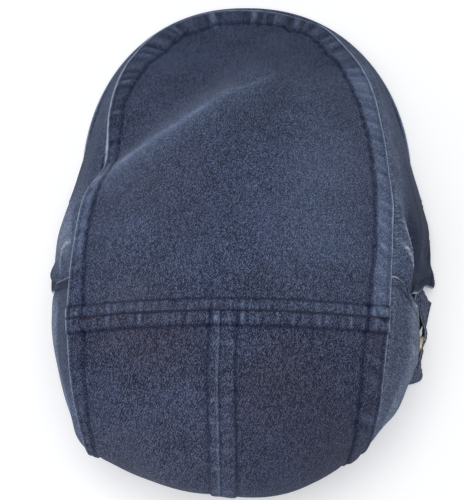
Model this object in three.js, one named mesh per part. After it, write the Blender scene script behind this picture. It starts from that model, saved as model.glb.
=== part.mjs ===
// A washed denim flat cap, resting on its rim as it would on a table.
//
// Millimetres, +Z up, the rim's lowest edge at Z = 0. The peak points along -Y and the wearer's right is -X.
// Seven cloth panels, cut from one crown surface: a top panel that runs forward over the peak, two back
// panels, two front side panels and two rear side panels, with a stiff peak below the front.
// A two-piece strap runs round the back of the rim and is joined by a metal ring on the wearer's right.
import * as THREE from "three";

// Cloth and seams
const CLOTH = 1.8;
const HEM_EXTRA = 1.1; // the turned-up hem inside the rim adds this to the cloth
const HEM_HEIGHT = 13;
const SEAM_GAP = 0.3;
const LAYER_GAP = 0.3; // between two layers of the strap

// The front side panels lap over the rear side panels and over the ends of the strap
const LAP = {
  start: 8.3, // the section where the rear side panel begins, under the lap
  end: 9, // the section where the front side panel's hemmed edge lies
  back: 0.35, // how much further back that edge lies halfway down
  forward: 0.93, // and how far it comes forward again down to the rim
  turnDown: 1.62, // from this place down the side
  tuck: CLOTH + 0.65, // how far the rear side panel lies inside the crown's surface there
  ease: 0.45, // the sections over which it comes back out
  overStrap: 3.4, // how far the front side panel stands out where it covers the strap
  overFrom: 7.5, // the sections over which it comes out to there
  overTo: 8.4,
};

// Peak
const PEAK = {
  halfWidth: 84.2,
  length: 93.4,
  centreY: -38,
  roundness: 2.2,
  browHalfWidth: 78,
  browDepth: 47,
  cornerTop: 3.1,
  tipRise: 11.4,
  browRise: 19,
  thickness: 3,
  sweep: 85.5, // degrees from the tip to each corner
};

// Strap and ring. A run is a distance round the rear rim, in sections from the right lap's edge.
const STRAP = {
  low: 2.5,
  high: 16.4,
  lean: 2.8, // how far its upper edge leans in by the right lap
  flare: 2.9, // how far its lower edge swings out there
  hemShare: 0.7, // and how much of that the hem inside it takes part in
  thickness: 1.3,
  stand: 1.25, // from the rim to the middle of the cloth
  tabEnd: 0.12, // the run where the tab's outer layer ends
  tailEnd: 3.3, // the run where the strap's free end lies
  bow: 2.8, // how far the strap bows out behind the ring
  bowEnd: 3.5,
};
const RING = {
  wire: 1.4, // the width of its bars
  depth: 2.2, // how thick it is across the strap
  rail: 1.5, // the height of its top and bottom rails
  length: 6.8,
  low: 0.4,
  high: 19.6,
  run: 1.75,
  stand: 3.6, // how far its middle stands out of the rim
  turn: 2.15, // from the middle of a bar to the middle of the cloth beside it
  turnEnd: 1.9, // and to the middle of the cloth round its end
  corner: 1.6,
};

// Sections of the crown from the front edge over the top to the rear rim. Each row gives the middle of the
// top, the seam between top and side, the lower edge of the side, how far the side swells, and how far the
// soft crown leans to the wearer's left at seam height and at the rim.
const SECTION_COLUMNS = [
  "midY", "midZ", "seamX", "seamY", "seamZ", "rimX", "rimY", "rimZ", "swell", "lean", "rimLean",
];
const SECTIONS = [
  [-129.6, 16.9, 44, -117.2, 15.8, 47.2, -117.2, 13.4, 0, 0, 0],
  [-119, 22, 56, -101.2, 22.2, 64.4, -99.5, 9.9, 0, 0, 0],
  [-103, 29.8, 62, -85.6, 28.4, 73.6, -83, 7.2, 0, 0.5, 0],
  [-85, 38.8, 65.5, -69, 34.6, 78.6, -66.5, 5.8, 0.5, 1, 0],
  [-65, 49.8, 67.5, -50.4, 43, 82.8, -49.5, 4.8, 0.8, 1.2, 0.2],
  [-43, 61.5, 68.8, -30, 51.5, 86.4, -33, 0, 1, 1.5, 0.6],
  [-19, 72.5, 70, -8, 60, 88.2, -15, 0, 1.2, 3.2, 1],
  [9, 81.5, 71.2, 15, 66.5, 90.8, 3, 0, 1.2, 5.8, 0.4],
  [26, 86, 71.2, 29, 69.5, 90.2, 16, 0, 1.5, 6.8, 0.8],
  [44, 89.3, 70.8, 43, 71.8, 87.6, 27, 0, 2.4, 7.6, 2.2],
  [65, 90.6, 69.6, 63, 73, 85, 42, 0, 4.4, 8.4, 4],
  [90, 86, 67.4, 83, 69.5, 81.8, 59, 0, 5, 9.4, 5.6],
  [112, 75, 65, 98.5, 61, 76, 74, 0, 5, 9.8, 7],
  [126, 59.5, 62.6, 107.5, 50, 70, 84.5, 0, 4, 10, 8.2],
  [131.5, 43.5, 60, 111, 38, 65, 91, 0, 2.5, 10, 9],
  [126, 28.5, 57.4, 107, 27, 60, 96, 0, 0.8, 10, 9.5],
  [113.4, 20.5, 54.4, 100.9, 20.5, 56.6, 98.8, 0, 0, 10, 10],
  [113, 0, 53.8, 100.8, 0, 55.2, 99.9, 0, 0, 10, 10],
].map((row) => Object.fromEntries(SECTION_COLUMNS.map((name, k) => [name, row[k]])));
const LAST = SECTIONS.length - 1;
const CROSS_SEAM = 10; // section of the seam between the top panel and the back panels
const SEAM_HEIGHT = 73; // the lean is stated at this height
const CROWN_ARCH = 2.3; // how flat the top is between its seams
const PLAN_ARCH = 2.5; // how flat a section's line is on the plan
const BACK_SEAM_SHIFT = 2.7; // the centre back seam has pulled over to the wearer's left
const WAIST = 18; // the side stands upright below this height, behind the strap

// Folds and dents of the soft cloth. Each runs from one place on the crown to another, given as its section s
// and its place t across: 0 the middle of the top, 1 the wearer's left seam, 2 the left rim, negative on the
// right. Its height falls away on both sides over its width, and a negative height is a dent.
// In order: the ridge across the front left, where it runs out, the dent before it, a shallow front dent, the
// waist above the right strap in two parts and the fuller cloth behind it, a fold from the right seam to the
// lap and the hollow below it, the folds of the left side, and the fuller and flatter parts of the back.
const FOLDS = [
  { fromS: 6.5, fromT: 1.08, toS: 4.4, toT: 0.16, width: 9.5, height: 3.4 },
  { fromS: 4.4, fromT: 0.16, toS: 3.5, toT: -0.2, width: 11, height: 1.6 },
  { fromS: 5.5, fromT: 0.95, toS: 3.6, toT: 0.3, width: 16, height: -6.0 },
  { fromS: 2.4, fromT: 0.6, toS: 2.0, toT: 0.1, width: 16, height: -2.0 },
  { fromS: 7.8, fromT: -1.7, toS: 9.9, toT: -1.68, width: 14, height: -4.4 },
  { fromS: 9.0, fromT: -1.4, toS: 9.8, toT: -1.42, width: 14, height: -3.4 },
  { fromS: 11.0, fromT: -1.42, toS: 12.3, toT: -1.38, width: 15, height: 2.6 },
  { fromS: 6.7, fromT: -1.02, toS: 8.9, toT: -1.25, width: 7, height: 2.6 },
  { fromS: 7.0, fromT: -1.22, toS: 8.2, toT: -1.4, width: 7, height: -2.6 },
  { fromS: 7.2, fromT: 1.25, toS: 9.2, toT: 1.5, width: 7, height: -2.4 },
  { fromS: 6.2, fromT: 1.4, toS: 8.2, toT: 1.8, width: 6, height: 1.6 },
  { fromS: 8.9, fromT: 1.44, toS: 9.9, toT: 1.42, width: 13, height: 2.6 },
  { fromS: 13.0, fromT: -0.5, toS: 14.5, toT: -0.35, width: 26, height: 2.4 },
  { fromS: 13.4, fromT: 0.62, toS: 14.6, toT: 0.5, width: 18, height: -1.4 },
  { fromS: 13.2, fromT: 1.15, toS: 14.0, toT: 1.05, width: 12, height: 2.0 },
];
const SECTION_LENGTH = 15.5; // about the distance between two sections
const PANEL_LENGTH = 78; // about the distance from one whole t to the next

const clamp = (value, low, high) => Math.min(high, Math.max(low, value));
const mix = (a, b, share) => a + (b - a) * share;
const smooth = (share) => share * share * (3 - 2 * share);
const ease = (value, from, to) => smooth(clamp((value - from) / (to - from), 0, 1));

// A smooth curve through one column of the section table.
function column(name, s) {
  const i = clamp(Math.floor(s), 0, LAST - 1);
  const u = clamp(s, 0, LAST) - i;
  const at = (k) => SECTIONS[clamp(k, 0, LAST)][name];
  const before = i === 0 ? 2 * at(0) - at(1) : at(i - 1);
  const after = i + 1 === LAST ? 2 * at(LAST) - at(LAST - 1) : at(i + 2);
  const [a, b] = [at(i), at(i + 1)];
  return 0.5 * (2 * a + (b - before) * u + (2 * before - 5 * a + 4 * b - after) * u * u
    + (3 * a - before - 3 * b + after) * u * u * u);
}

// How far the folds lift the cloth at a place on the crown.
function foldAt(s, t) {
  let lift = 0;
  for (const fold of FOLDS) {
    const from = new THREE.Vector2(fold.fromS * SECTION_LENGTH, fold.fromT * PANEL_LENGTH);
    const run = new THREE.Vector2(fold.toS * SECTION_LENGTH, fold.toT * PANEL_LENGTH).sub(from);
    const here = new THREE.Vector2(s * SECTION_LENGTH, t * PANEL_LENGTH).sub(from);
    const share = clamp(here.dot(run) / run.lengthSq(), 0, 1);
    lift += fold.height * Math.exp(-here.addScaledVector(run, -share).lengthSq() / fold.width ** 2);
  }
  return lift;
}

// A point of the crown before its folds. s is the section. t is -1 to 1 between the two seams of the top,
// 1 to 2 down the wearer's left side and -1 to -2 down the right side.
function plainPoint(s, t) {
  const side = Math.sign(t) || 1;
  const a = Math.abs(t);
  const seam = new THREE.Vector3(column("seamX", s), column("seamY", s), column("seamZ", s));
  const point = new THREE.Vector3();
  if (a <= 1) {
    point.x = seam.x * a;
    point.y = mix(column("midY", s), seam.y, a ** PLAN_ARCH);
    point.z = mix(column("midZ", s), seam.z, a ** CROWN_ARCH);
  } else {
    const rim = new THREE.Vector3(column("rimX", s), column("rimY", s), Math.max(0, column("rimZ", s)));
    const height = seam.z - rim.z;
    const w = clamp((a - 1) * height / Math.max(2, height - WAIST * ease(s, 4, 7)), 0, 1);
    const outwards = outwardsAt(s);
    const out = column("swell", s) * Math.sin(Math.PI * w);
    point.x = mix(seam.x, rim.x, w) + out * outwards.x;
    point.y = mix(seam.y, rim.y, w) + out * outwards.y;
    point.z = mix(seam.z, rim.z, a - 1);
  }
  const height = clamp((point.z - WAIST) / (SEAM_HEIGHT - WAIST), 0, 1.2);
  point.x = point.x * side + mix(column("rimLean", s), column("lean", s), height);
  point.x += BACK_SEAM_SHIFT * ease(s, 5, 9) * Math.max(0, 1 - a * a) ** 2;
  return point;
}

// The outward normal of a surface, from points a little to each side.
function normalOf(surface, s, t) {
  const step = 0.02;
  const along = surface(Math.min(LAST, s + step), t).sub(surface(Math.max(0, s - step), t));
  const across = surface(s, Math.min(2, t + step)).sub(surface(s, Math.max(-2, t - step)));
  return new THREE.Vector3().crossVectors(across, along).normalize();
}

// A point of the crown's outer surface. The folds move the cloth square to it, and fade out at its edges.
function crownPoint(s, t) {
  const point = plainPoint(s, t);
  const free = ease(s, 0, 1.5) * ease(LAST - s, 0.5, 3) * ease(2 - Math.abs(t), 0, 0.22);
  const lift = free * foldAt(s, t);
  return Math.abs(lift) < 0.01 ? point : point.addScaledVector(normalOf(plainPoint, s, t), lift);
}

// The plan direction out of the side at a section, square to the rim.
function outwardsAt(s) {
  const ahead = Math.min(LAST, s + 0.3);
  const behind = Math.max(0, s - 0.3);
  const dx = column("rimX", ahead) - column("rimX", behind);
  const dy = column("rimY", ahead) - column("rimY", behind);
  return new THREE.Vector2(dy, -dx).normalize();
}

const denim = new THREE.MeshStandardMaterial({ color: 0x454e6b, roughness: 0.9 });
const denimSide = new THREE.MeshStandardMaterial({ color: 0x4a5470, roughness: 0.9 });
const denimStrap = new THREE.MeshStandardMaterial({ color: 0x3e4864, roughness: 0.88 });
const metal = new THREE.MeshStandardMaterial({ color: 0xb7ab93, roughness: 0.38, metalness: 1 });

// A closed geometry from two grids of points, the outer and the inner skin of a wall.
function wallGeometry(outer, inner) {
  const rows = outer.length;
  const columns = outer[0].length;
  const positions = [];
  for (const skin of [outer, inner]) {
    for (const row of skin) row.forEach((p) => positions.push(p.x, p.y, p.z));
  }
  const at = (skin, i, j) => skin * rows * columns + i * columns + j;
  const index = [];
  const quad = (a, b, c, d) => index.push(a, b, c, a, c, d);
  for (let i = 0; i + 1 < rows; i++) {
    for (let j = 0; j + 1 < columns; j++) {
      quad(at(0, i, j), at(0, i, j + 1), at(0, i + 1, j + 1), at(0, i + 1, j));
      quad(at(1, i, j), at(1, i + 1, j), at(1, i + 1, j + 1), at(1, i, j + 1));
    }
  }
  for (let i = 0; i + 1 < rows; i++) {
    quad(at(0, i, 0), at(0, i + 1, 0), at(1, i + 1, 0), at(1, i, 0));
    quad(at(0, i, columns - 1), at(1, i, columns - 1), at(1, i + 1, columns - 1), at(0, i + 1, columns - 1));
  }
  for (let j = 0; j + 1 < columns; j++) {
    quad(at(0, 0, j), at(1, 0, j), at(1, 0, j + 1), at(0, 0, j + 1));
    quad(at(0, rows - 1, j), at(0, rows - 1, j + 1), at(1, rows - 1, j + 1), at(1, rows - 1, j));
  }
  const geometry = new THREE.BufferGeometry();
  geometry.setAttribute("position", new THREE.Float32BufferAttribute(positions, 3));
  geometry.setIndex(index);
  if (signedVolume(positions, index) < 0) {
    for (let i = 0; i < index.length; i += 3) [index[i + 1], index[i + 2]] = [index[i + 2], index[i + 1]];
    geometry.setIndex(index);
  }
  geometry.computeVertexNormals();
  return geometry;
}

function signedVolume(positions, index) {
  const corner = (k) => new THREE.Vector3().fromArray(positions, 3 * index[k]);
  let volume = 0;
  for (let i = 0; i < index.length; i += 3) {
    volume += corner(i).dot(new THREE.Vector3().crossVectors(corner(i + 1), corner(i + 2))) / 6;
  }
  return volume;
}

// Moves the outermost row of points in from a seam by half the seam's gap.
function pullFromSeam(grid, edges) {
  const rows = grid.length;
  const columns = grid[0].length;
  const pull = (edge, next) => {
    const towards = next.clone().sub(edge);
    const length = towards.length();
    edge.addScaledVector(towards, Math.min(0.4, SEAM_GAP / 2 / length));
  };
  if (edges.includes("front")) grid[0].forEach((p, j) => pull(p, grid[1][j]));
  if (edges.includes("rear")) grid[rows - 1].forEach((p, j) => pull(p, grid[rows - 2][j]));
  if (edges.includes("first")) grid.forEach((row) => pull(row[0], row[1]));
  if (edges.includes("last")) grid.forEach((row) => pull(row[columns - 1], row[columns - 2]));
}

// Places along the crown from a list of runs, each with its ends and its number of steps.
function places(runs) {
  const list = [runs[0][0]];
  for (const [from, to, steps] of runs) {
    for (let i = 1; i <= steps; i++) list.push(mix(from, to, i / steps));
  }
  return list;
}

// One cloth panel of the crown over some runs of sections, between t0 and t1.
function crownPanel(name, { runs, t0, t1, across, seams, lift = () => 0, warp = (s) => s }) {
  const outer = [];
  const inner = [];
  for (const section of places(runs)) {
    const outerRow = [];
    const innerRow = [];
    for (let j = 0; j <= across; j++) {
      const t = mix(t0, t1, j / across);
      const s = warp(section, Math.abs(t));
      const onRim = Math.abs(t) >= 2 - 1e-9 || s >= LAST - 1e-9;
      const normal = normalOf(crownPoint, s, t);
      if (onRim) normal.setZ(0).normalize();
      const raised = lift(s, t);
      const point = crownPoint(s, t).addScaledVector(normal, raised);
      const hem = HEM_EXTRA * (1 - ease(point.z, HEM_HEIGHT - 1.5, HEM_HEIGHT)) * ease(s, 5, 5.6);
      const skin = point.clone().addScaledVector(normal, -(CLOTH + hem));
      skin.z = Math.max(onRim ? point.z : 0.3, skin.z);
      outerRow.push(point);
      innerRow.push(skin);
    }
    outer.push(outerRow);
    inner.push(innerRow);
  }
  pullFromSeam(outer, seams);
  pullFromSeam(inner, seams);
  const mesh = new THREE.Mesh(wallGeometry(outer, inner), Math.abs(t0 + t1) > 2 ? denimSide : denim);
  mesh.name = name;
  return mesh;
}

// Under the lap the rear side panels and the strap lie inside the crown's surface.
const tuckAt = (s) => LAP.tuck * (1 - ease(s, LAP.end + LAP.back, LAP.end + LAP.back + LAP.ease));

// Just behind the right lap the strap's lower edge swings out, and the hem inside it does so by a share.
function flareAt(run) {
  const share = ease(run, -0.05, 0.4) * (1 - ease(run, 0.8, 1.45));
  return (STRAP.flare + tuckAt(LAP.end + run)) * share;
}
const hemFlare = (s, t) => (t < 0 ? STRAP.hemShare * flareAt(s - LAP.end) * ease(-t, 1.82, 1.98) : 0);

// The front side panels' rear edge is slanted: further back halfway down, further forward at the rim.
function slanted(s, a) {
  const down = clamp((a - LAP.turnDown) / (2 - LAP.turnDown), 0, 1);
  const shift = LAP.back * ease(a, 1.3, 1.6) - LAP.forward * down ** 1.35;
  return s + shift * ease(s, LAP.end - 2, LAP.end);
}

// The front side panels stand out where they cover the strap's ends.
function coverLift(s, t) {
  return LAP.overStrap * ease(s, LAP.overFrom, LAP.overTo) * ease(Math.abs(t), 1.45, 1.72);
}

// The peak: a stiff curved plate below the front of the crown, from its outer edge in to the brow.
function peakMesh() {
  const steps = 30;
  const across = 4;
  const top = [];
  const bottom = [];
  for (let i = 0; i <= steps; i++) {
    const angle = THREE.MathUtils.degToRad(mix(-PEAK.sweep, PEAK.sweep, i / steps));
    const [sine, cosine] = [Math.sin(angle), Math.max(0, Math.cos(angle))];
    const power = 2 / PEAK.roundness;
    const edge = new THREE.Vector3(
      PEAK.halfWidth * Math.sign(sine) * Math.abs(sine) ** power,
      PEAK.centreY - PEAK.length * cosine ** power,
      PEAK.cornerTop + PEAK.tipRise * cosine ** 2,
    );
    const brow = new THREE.Vector3(
      PEAK.browHalfWidth * sine,
      PEAK.centreY - PEAK.browDepth * cosine,
      PEAK.cornerTop + PEAK.browRise * cosine ** 2,
    );
    const topRow = [];
    const bottomRow = [];
    for (let j = 0; j <= across; j++) {
      const point = edge.clone().lerp(brow, j / across);
      topRow.push(point);
      bottomRow.push(point.clone().setZ(point.z - PEAK.thickness));
    }
    top.push(topRow);
    bottom.push(bottomRow);
  }
  const mesh = new THREE.Mesh(wallGeometry(top, bottom), denim);
  mesh.name = "peak";
  return mesh;
}

// The rim's plan line round the back, by distance in sections from the right lap's edge. On the sides it
// follows the sections, under the lap too, and across the back it runs along the last one.
const HEAD_CENTRE_Y = 20;
const SIDE_RUN = LAST - LAP.end;
const BACK_RUN = 7;
const WHOLE_RUN = 2 * SIDE_RUN + BACK_RUN;
function rimPoint(run) {
  const left = WHOLE_RUN - run;
  if (run < SIDE_RUN) return crownPoint(LAP.end + run, -2);
  if (left < SIDE_RUN) return crownPoint(LAP.end + left, 2);
  return crownPoint(LAST, mix(-1, 1, (run - SIDE_RUN) / BACK_RUN));
}

// A point of the plan beside the rear rim, standing out of it by some distance less the tuck under the lap.
function besideRim(run, stand) {
  const step = 0.05;
  const along = rimPoint(run + step).sub(rimPoint(run - step));
  const outwards = new THREE.Vector2(along.y, -along.x).normalize();
  const here = rimPoint(run);
  if (outwards.x * here.x + outwards.y * (here.y - HEAD_CENTRE_Y) < 0) outwards.negate();
  const out = stand - tuckAt(LAP.end + Math.min(run, WHOLE_RUN - run)) + flareAt(run);
  return new THREE.Vector3(here.x + out * outwards.x, here.y + out * outwards.y, leanAt(run));
}

// By the right lap the strap's upper edge leans in, over the hollow above the hem.
const leanAt = (run) => flareAt(run) + STRAP.lean * (1 - ease(run, 0.5, 1.45));

// A ribbon of cloth on edge along a plan line, from its low to its high edge, which leans in by the line's z.
function ribbonMesh(name, line, { thickness, low, high }) {
  const skins = [[[], []], [[], []]];
  line.forEach((point, i) => {
    const before = line[Math.max(0, i - 1)];
    const after = line[Math.min(line.length - 1, i + 1)];
    const along = after.clone().sub(before).setZ(0).normalize();
    const out = new THREE.Vector3(-along.y, along.x, 0);
    [-0.5, 0.5].forEach((half, skin) => {
      [low, high].forEach((z, edge) => {
        const place = point.clone().addScaledVector(out, half * thickness);
        place.x += edge === 1 ? point.z : 0;
        skins[skin][edge].push(new THREE.Vector3(place.x, place.y, z));
      });
    });
  });
  const mesh = new THREE.Mesh(wallGeometry(skins[0], skins[1]), denimStrap);
  mesh.name = name;
  return mesh;
}

// The turn of a ribbon round one of the ring's bars, on the plan: a half oval from inner to outer side.
function turnRound(centre, ahead) {
  const steps = 6;
  const out = new THREE.Vector2(ahead.y, -ahead.x);
  if (out.x > 0) out.negate();
  const line = [];
  for (let i = 0; i <= steps; i++) {
    const angle = Math.PI * (i / steps);
    const place = centre.clone().addScaledVector(out, -RING.turn * Math.cos(angle));
    place.addScaledVector(ahead, RING.turnEnd * Math.sin(angle));
    line.push(new THREE.Vector3(place.x, place.y, 0));
  }
  return line;
}

// The ring: a flat frame on edge that both ribbons pass through.
const onPlan = (point) => new THREE.Vector2(point.x, point.y);
const ringCentre = onPlan(besideRim(RING.run, RING.stand));
const beforeRing = besideRim(RING.run - 0.2, RING.stand);
const behindRing = besideRim(RING.run + 0.2, RING.stand);
const ringAhead = onPlan(behindRing.sub(beforeRing)).normalize();
const ringBar = (sign) => ringCentre.clone().addScaledVector(ringAhead, sign * (RING.length - RING.wire) / 2);

function ringMesh() {
  const frame = new THREE.Shape();
  const [halfLength, height, corner] = [RING.length / 2, RING.high - RING.low, RING.corner];
  frame.moveTo(-halfLength + corner, 0);
  frame.lineTo(halfLength - corner, 0);
  frame.quadraticCurveTo(halfLength, 0, halfLength, corner);
  frame.lineTo(halfLength, height - corner);
  frame.quadraticCurveTo(halfLength, height, halfLength - corner, height);
  frame.lineTo(-halfLength + corner, height);
  frame.quadraticCurveTo(-halfLength, height, -halfLength, height - corner);
  frame.lineTo(-halfLength, corner);
  frame.quadraticCurveTo(-halfLength, 0, -halfLength + corner, 0);
  const slot = new THREE.Path();
  const [x, z] = [halfLength - RING.wire, height - RING.rail];
  slot.moveTo(-x, RING.rail);
  slot.lineTo(-x, z);
  slot.lineTo(x, z);
  slot.lineTo(x, RING.rail);
  slot.lineTo(-x, RING.rail);
  frame.holes.push(slot);
  const shape = { depth: RING.depth, bevelEnabled: false, curveSegments: 4 };
  const geometry = new THREE.ExtrudeGeometry(frame, shape);
  geometry.translate(0, 0, -RING.depth / 2);
  geometry.rotateX(Math.PI / 2);
  geometry.rotateZ(Math.atan2(ringAhead.y, ringAhead.x));
  geometry.translate(ringCentre.x, ringCentre.y, RING.low);
  const mesh = new THREE.Mesh(geometry, metal);
  mesh.name = "strap_ring";
  return mesh;
}

// The short tab: from under the right lap to the ring, round its front bar and back over itself.
function tabMesh() {
  const turnRun = RING.run - 0.3;
  const innerStand = (run) => mix(STRAP.stand, RING.stand - RING.turn, ease(run, -0.1, turnRun));
  const innerRuns = places([[-0.5, -0.05, 2], [-0.05, 0.45, 6], [0.45, turnRun, 6]]);
  const inner = innerRuns.map((run) => besideRim(run, innerStand(run)));
  const outerRuns = places([[turnRun - 0.04, STRAP.tabEnd, 8]]);
  const outer = outerRuns.map((run) => {
    const near = ease(run, STRAP.tabEnd, turnRun + 0.05) ** 5;
    return besideRim(run, innerStand(run) + mix(STRAP.thickness + LAYER_GAP, 2 * RING.turn, near));
  });
  return ribbonMesh("strap_tab", [...inner, ...turnRound(ringBar(-1), ringAhead), ...outer], STRAP);
}

// A point of the strap behind the ring, where its lower edge bows out and its upper edge stays by the crown.
function bowed(run, atRing, behind) {
  const share = ease(run, RING.run + 0.3, STRAP.bowEnd);
  const bow = STRAP.bow * Math.sin(Math.PI * share ** 0.9);
  const point = besideRim(run, mix(atRing, behind, share) + bow);
  return point.setZ(point.z + bow);
}

// The long strap: its free end behind the ring, through the ring and round its rear bar, then round the back.
function strapMesh() {
  const tailStand = STRAP.stand + STRAP.thickness + LAYER_GAP + 0.1;
  const tailRuns = places([[STRAP.tailEnd, RING.run + 0.42, 8]]);
  const tail = tailRuns.map((run) => bowed(run, RING.stand + RING.turn, tailStand));
  const turn = turnRound(ringBar(1), ringAhead.clone().negate()).reverse();
  const end = WHOLE_RUN + 0.35;
  const lapRun = end - 1.4;
  const backRuns = places([[RING.run + 0.38, STRAP.bowEnd, 9], [STRAP.bowEnd, lapRun, 41], [lapRun, end, 7]]);
  const back = backRuns.map((run) => bowed(run, RING.stand - RING.turn, STRAP.stand));
  return ribbonMesh("strap", [...tail, ...turn, ...back], STRAP);
}

const group = new THREE.Group();
group.name = "denim_cap";
// The rows of points along the crown, shared by the panels on both sides of a seam.
const FRONT_RUNS = [[0, 7, 19], [7, LAP.end, 9]];
const LAP_RUNS = [
  [LAP.end, LAP.end + LAP.back, 2],
  [LAP.end + LAP.back, LAP.end + LAP.back + LAP.ease, 3],
  [LAP.end + LAP.back + LAP.ease, CROSS_SEAM, 1],
];
const BACK_RUNS = [[CROSS_SEAM, LAST, 15]];
// The side panels span one whole t from here, with the seam to the top on their last or first edge.
const HALVES = [
  { name: "right", from: -2, backFrom: -1, seam: "last" },
  { name: "left", from: 1, backFrom: 0, seam: "first" },
];
group.add(crownPanel("top_panel", {
  runs: [...FRONT_RUNS, ...LAP_RUNS], t0: -1, t1: 1, across: 22, seams: ["rear", "first", "last"],
}));
for (const { name, from, backFrom, seam } of HALVES) {
  group.add(crownPanel(`back_panel_${name}`, {
    runs: BACK_RUNS, t0: backFrom, t1: backFrom + 1, across: 11, seams: ["front", "first", "last"],
  }));
  group.add(crownPanel(`front_side_panel_${name}`, {
    runs: FRONT_RUNS, t0: from, t1: from + 1, across: 13, seams: [seam], lift: coverLift, warp: slanted,
  }));
  group.add(crownPanel(`rear_side_panel_${name}`, {
    runs: [[LAP.start, LAP.end, 2], ...LAP_RUNS, ...BACK_RUNS],
    t0: from,
    t1: from + 1,
    across: 12,
    seams: [seam],
    lift: (s, t) => hemFlare(s, t) - tuckAt(s),
  }));
}
group.add(peakMesh(), strapMesh(), tabMesh(), ringMesh());

// The origin lies below the middle of the cap's outline, on the surface it rests on.
const outline = new THREE.Box3().setFromObject(group);
const middle = outline.getCenter(new THREE.Vector3());
group.position.set(-middle.x, -middle.y, -outline.min.z);

export default group;
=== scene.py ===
import math
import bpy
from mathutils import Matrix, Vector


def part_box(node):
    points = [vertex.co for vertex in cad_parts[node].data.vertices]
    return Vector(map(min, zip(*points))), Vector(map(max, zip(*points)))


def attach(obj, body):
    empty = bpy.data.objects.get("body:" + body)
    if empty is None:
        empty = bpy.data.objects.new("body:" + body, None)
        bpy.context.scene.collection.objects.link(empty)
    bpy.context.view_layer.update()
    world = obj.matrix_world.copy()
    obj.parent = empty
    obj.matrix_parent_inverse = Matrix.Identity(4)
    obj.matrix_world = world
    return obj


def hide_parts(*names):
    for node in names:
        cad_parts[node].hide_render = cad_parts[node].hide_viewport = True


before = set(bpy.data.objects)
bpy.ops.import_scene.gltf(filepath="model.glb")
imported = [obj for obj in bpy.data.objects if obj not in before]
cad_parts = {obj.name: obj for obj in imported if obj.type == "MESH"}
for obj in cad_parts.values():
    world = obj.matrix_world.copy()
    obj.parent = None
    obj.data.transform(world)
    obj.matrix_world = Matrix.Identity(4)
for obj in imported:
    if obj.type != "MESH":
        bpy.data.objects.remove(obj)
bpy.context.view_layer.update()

from types import SimpleNamespace

import bpy
import numpy as np
from mathutils import Matrix, Vector
from mathutils.bvhtree import BVHTree

# A washed denim flat cap. Lengths are in millimetres up to the point where a mesh is made, in metres.

CLOTH = 1.8  # a panel's wall
HEM_EXTRA = 1.1  # how much thicker it is at the turned-up hem
HEM_HEIGHT = 13
LAP = 9  # the section where the front side panels end over the rear ones
LAP_LOW = 1.44  # the place down the side below which the front panel's hem lies outside
LAP_SPACING = 13.0  # from one section to the next at the lap
LAP_FORWARD = 0.93  # how many sections further forward the front panel's hem lies at the rim
TUCK = 2.45  # how far the strap and the cloth under the lap lie inside the crown's surface
LAP_BACK = 0.35  # how many sections behind the lap this tuck holds
LAP_EASE = 0.45  # and over how many it then runs out
LINE_STEP = 0.7  # between two points of a seam line
SIDES = {"right": -1, "left": 1}  # the wearer's sides, with the sign of a place across the crown

# The crown's sections from the front edge over the top to the rear rim. A place on the crown is a section s
# and a place t across it: 0 in the middle of the top, 1 or -1 at the side's bend, 2 or -2 at the rim.
# Columns: the middle of the top (y, z), the side's bend (x, y, z), the lower edge of the side (x, y, z), the
# swell of the side, and the lean to the wearer's left at the bend's height and at the rim.
NAMES = "midY midZ seamX seamY seamZ rimX rimY rimZ swell lean rimLean".split()
SECTIONS = np.array([
    (-129.6, 16.9, 44, -117.2, 15.8, 47.2, -117.2, 13.4, 0, 0, 0),
    (-119, 22, 56, -101.2, 22.2, 64.4, -99.5, 9.9, 0, 0, 0),
    (-103, 29.8, 62, -85.6, 28.4, 73.6, -83, 7.2, 0, 0.5, 0),
    (-85, 38.8, 65.5, -69, 34.6, 78.6, -66.5, 5.8, 0.5, 1, 0),
    (-65, 49.8, 67.5, -50.4, 43, 82.8, -49.5, 4.8, 0.8, 1.2, 0.2),
    (-43, 61.5, 68.8, -30, 51.5, 86.4, -33, 0, 1, 1.5, 0.6),
    (-19, 72.5, 70, -8, 60, 88.2, -15, 0, 1.2, 3.2, 1),
    (9, 81.5, 71.2, 15, 66.5, 90.8, 3, 0, 1.2, 5.8, 0.4),
    (26, 86, 71.2, 29, 69.5, 90.2, 16, 0, 1.5, 6.8, 0.8),
    (44, 89.3, 70.8, 43, 71.8, 87.6, 27, 0, 2.4, 7.6, 2.2),
    (65, 90.6, 69.6, 63, 73, 85, 42, 0, 4.4, 8.4, 4),
    (90, 86, 67.4, 83, 69.5, 81.8, 59, 0, 5, 9.4, 5.6),
    (112, 75, 65, 98.5, 61, 76, 74, 0, 5, 9.8, 7),
    (126, 59.5, 62.6, 107.5, 50, 70, 84.5, 0, 4, 10, 8.2),
    (131.5, 43.5, 60, 111, 38, 65, 91, 0, 2.5, 10, 9),
    (126, 28.5, 57.4, 107, 27, 60, 96, 0, 0.8, 10, 9.5),
    (113.4, 20.5, 54.4, 100.9, 20.5, 56.6, 98.8, 0, 0, 10, 10),
    (113, 0, 53.8, 100.8, 0, 55.2, 99.9, 0, 0, 10, 10),
])
LAST = len(SECTIONS) - 1
CROSS = 10  # the section of the seam between the top and the back panels
SEAM_HEIGHT = 73
CROWN_ARCH = 2.3  # how boxy the top is in height
PLAN_ARCH = 2.5  # and in plan
BACK_SEAM_SHIFT = 2.7
WAIST = 18  # the height of the sides' upright foot
SECTION_LENGTH = 15.5  # a usual distance between sections
PANEL_LENGTH = 78  # a usual distance from the middle of the top to the side's bend, or from there to the rim

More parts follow.
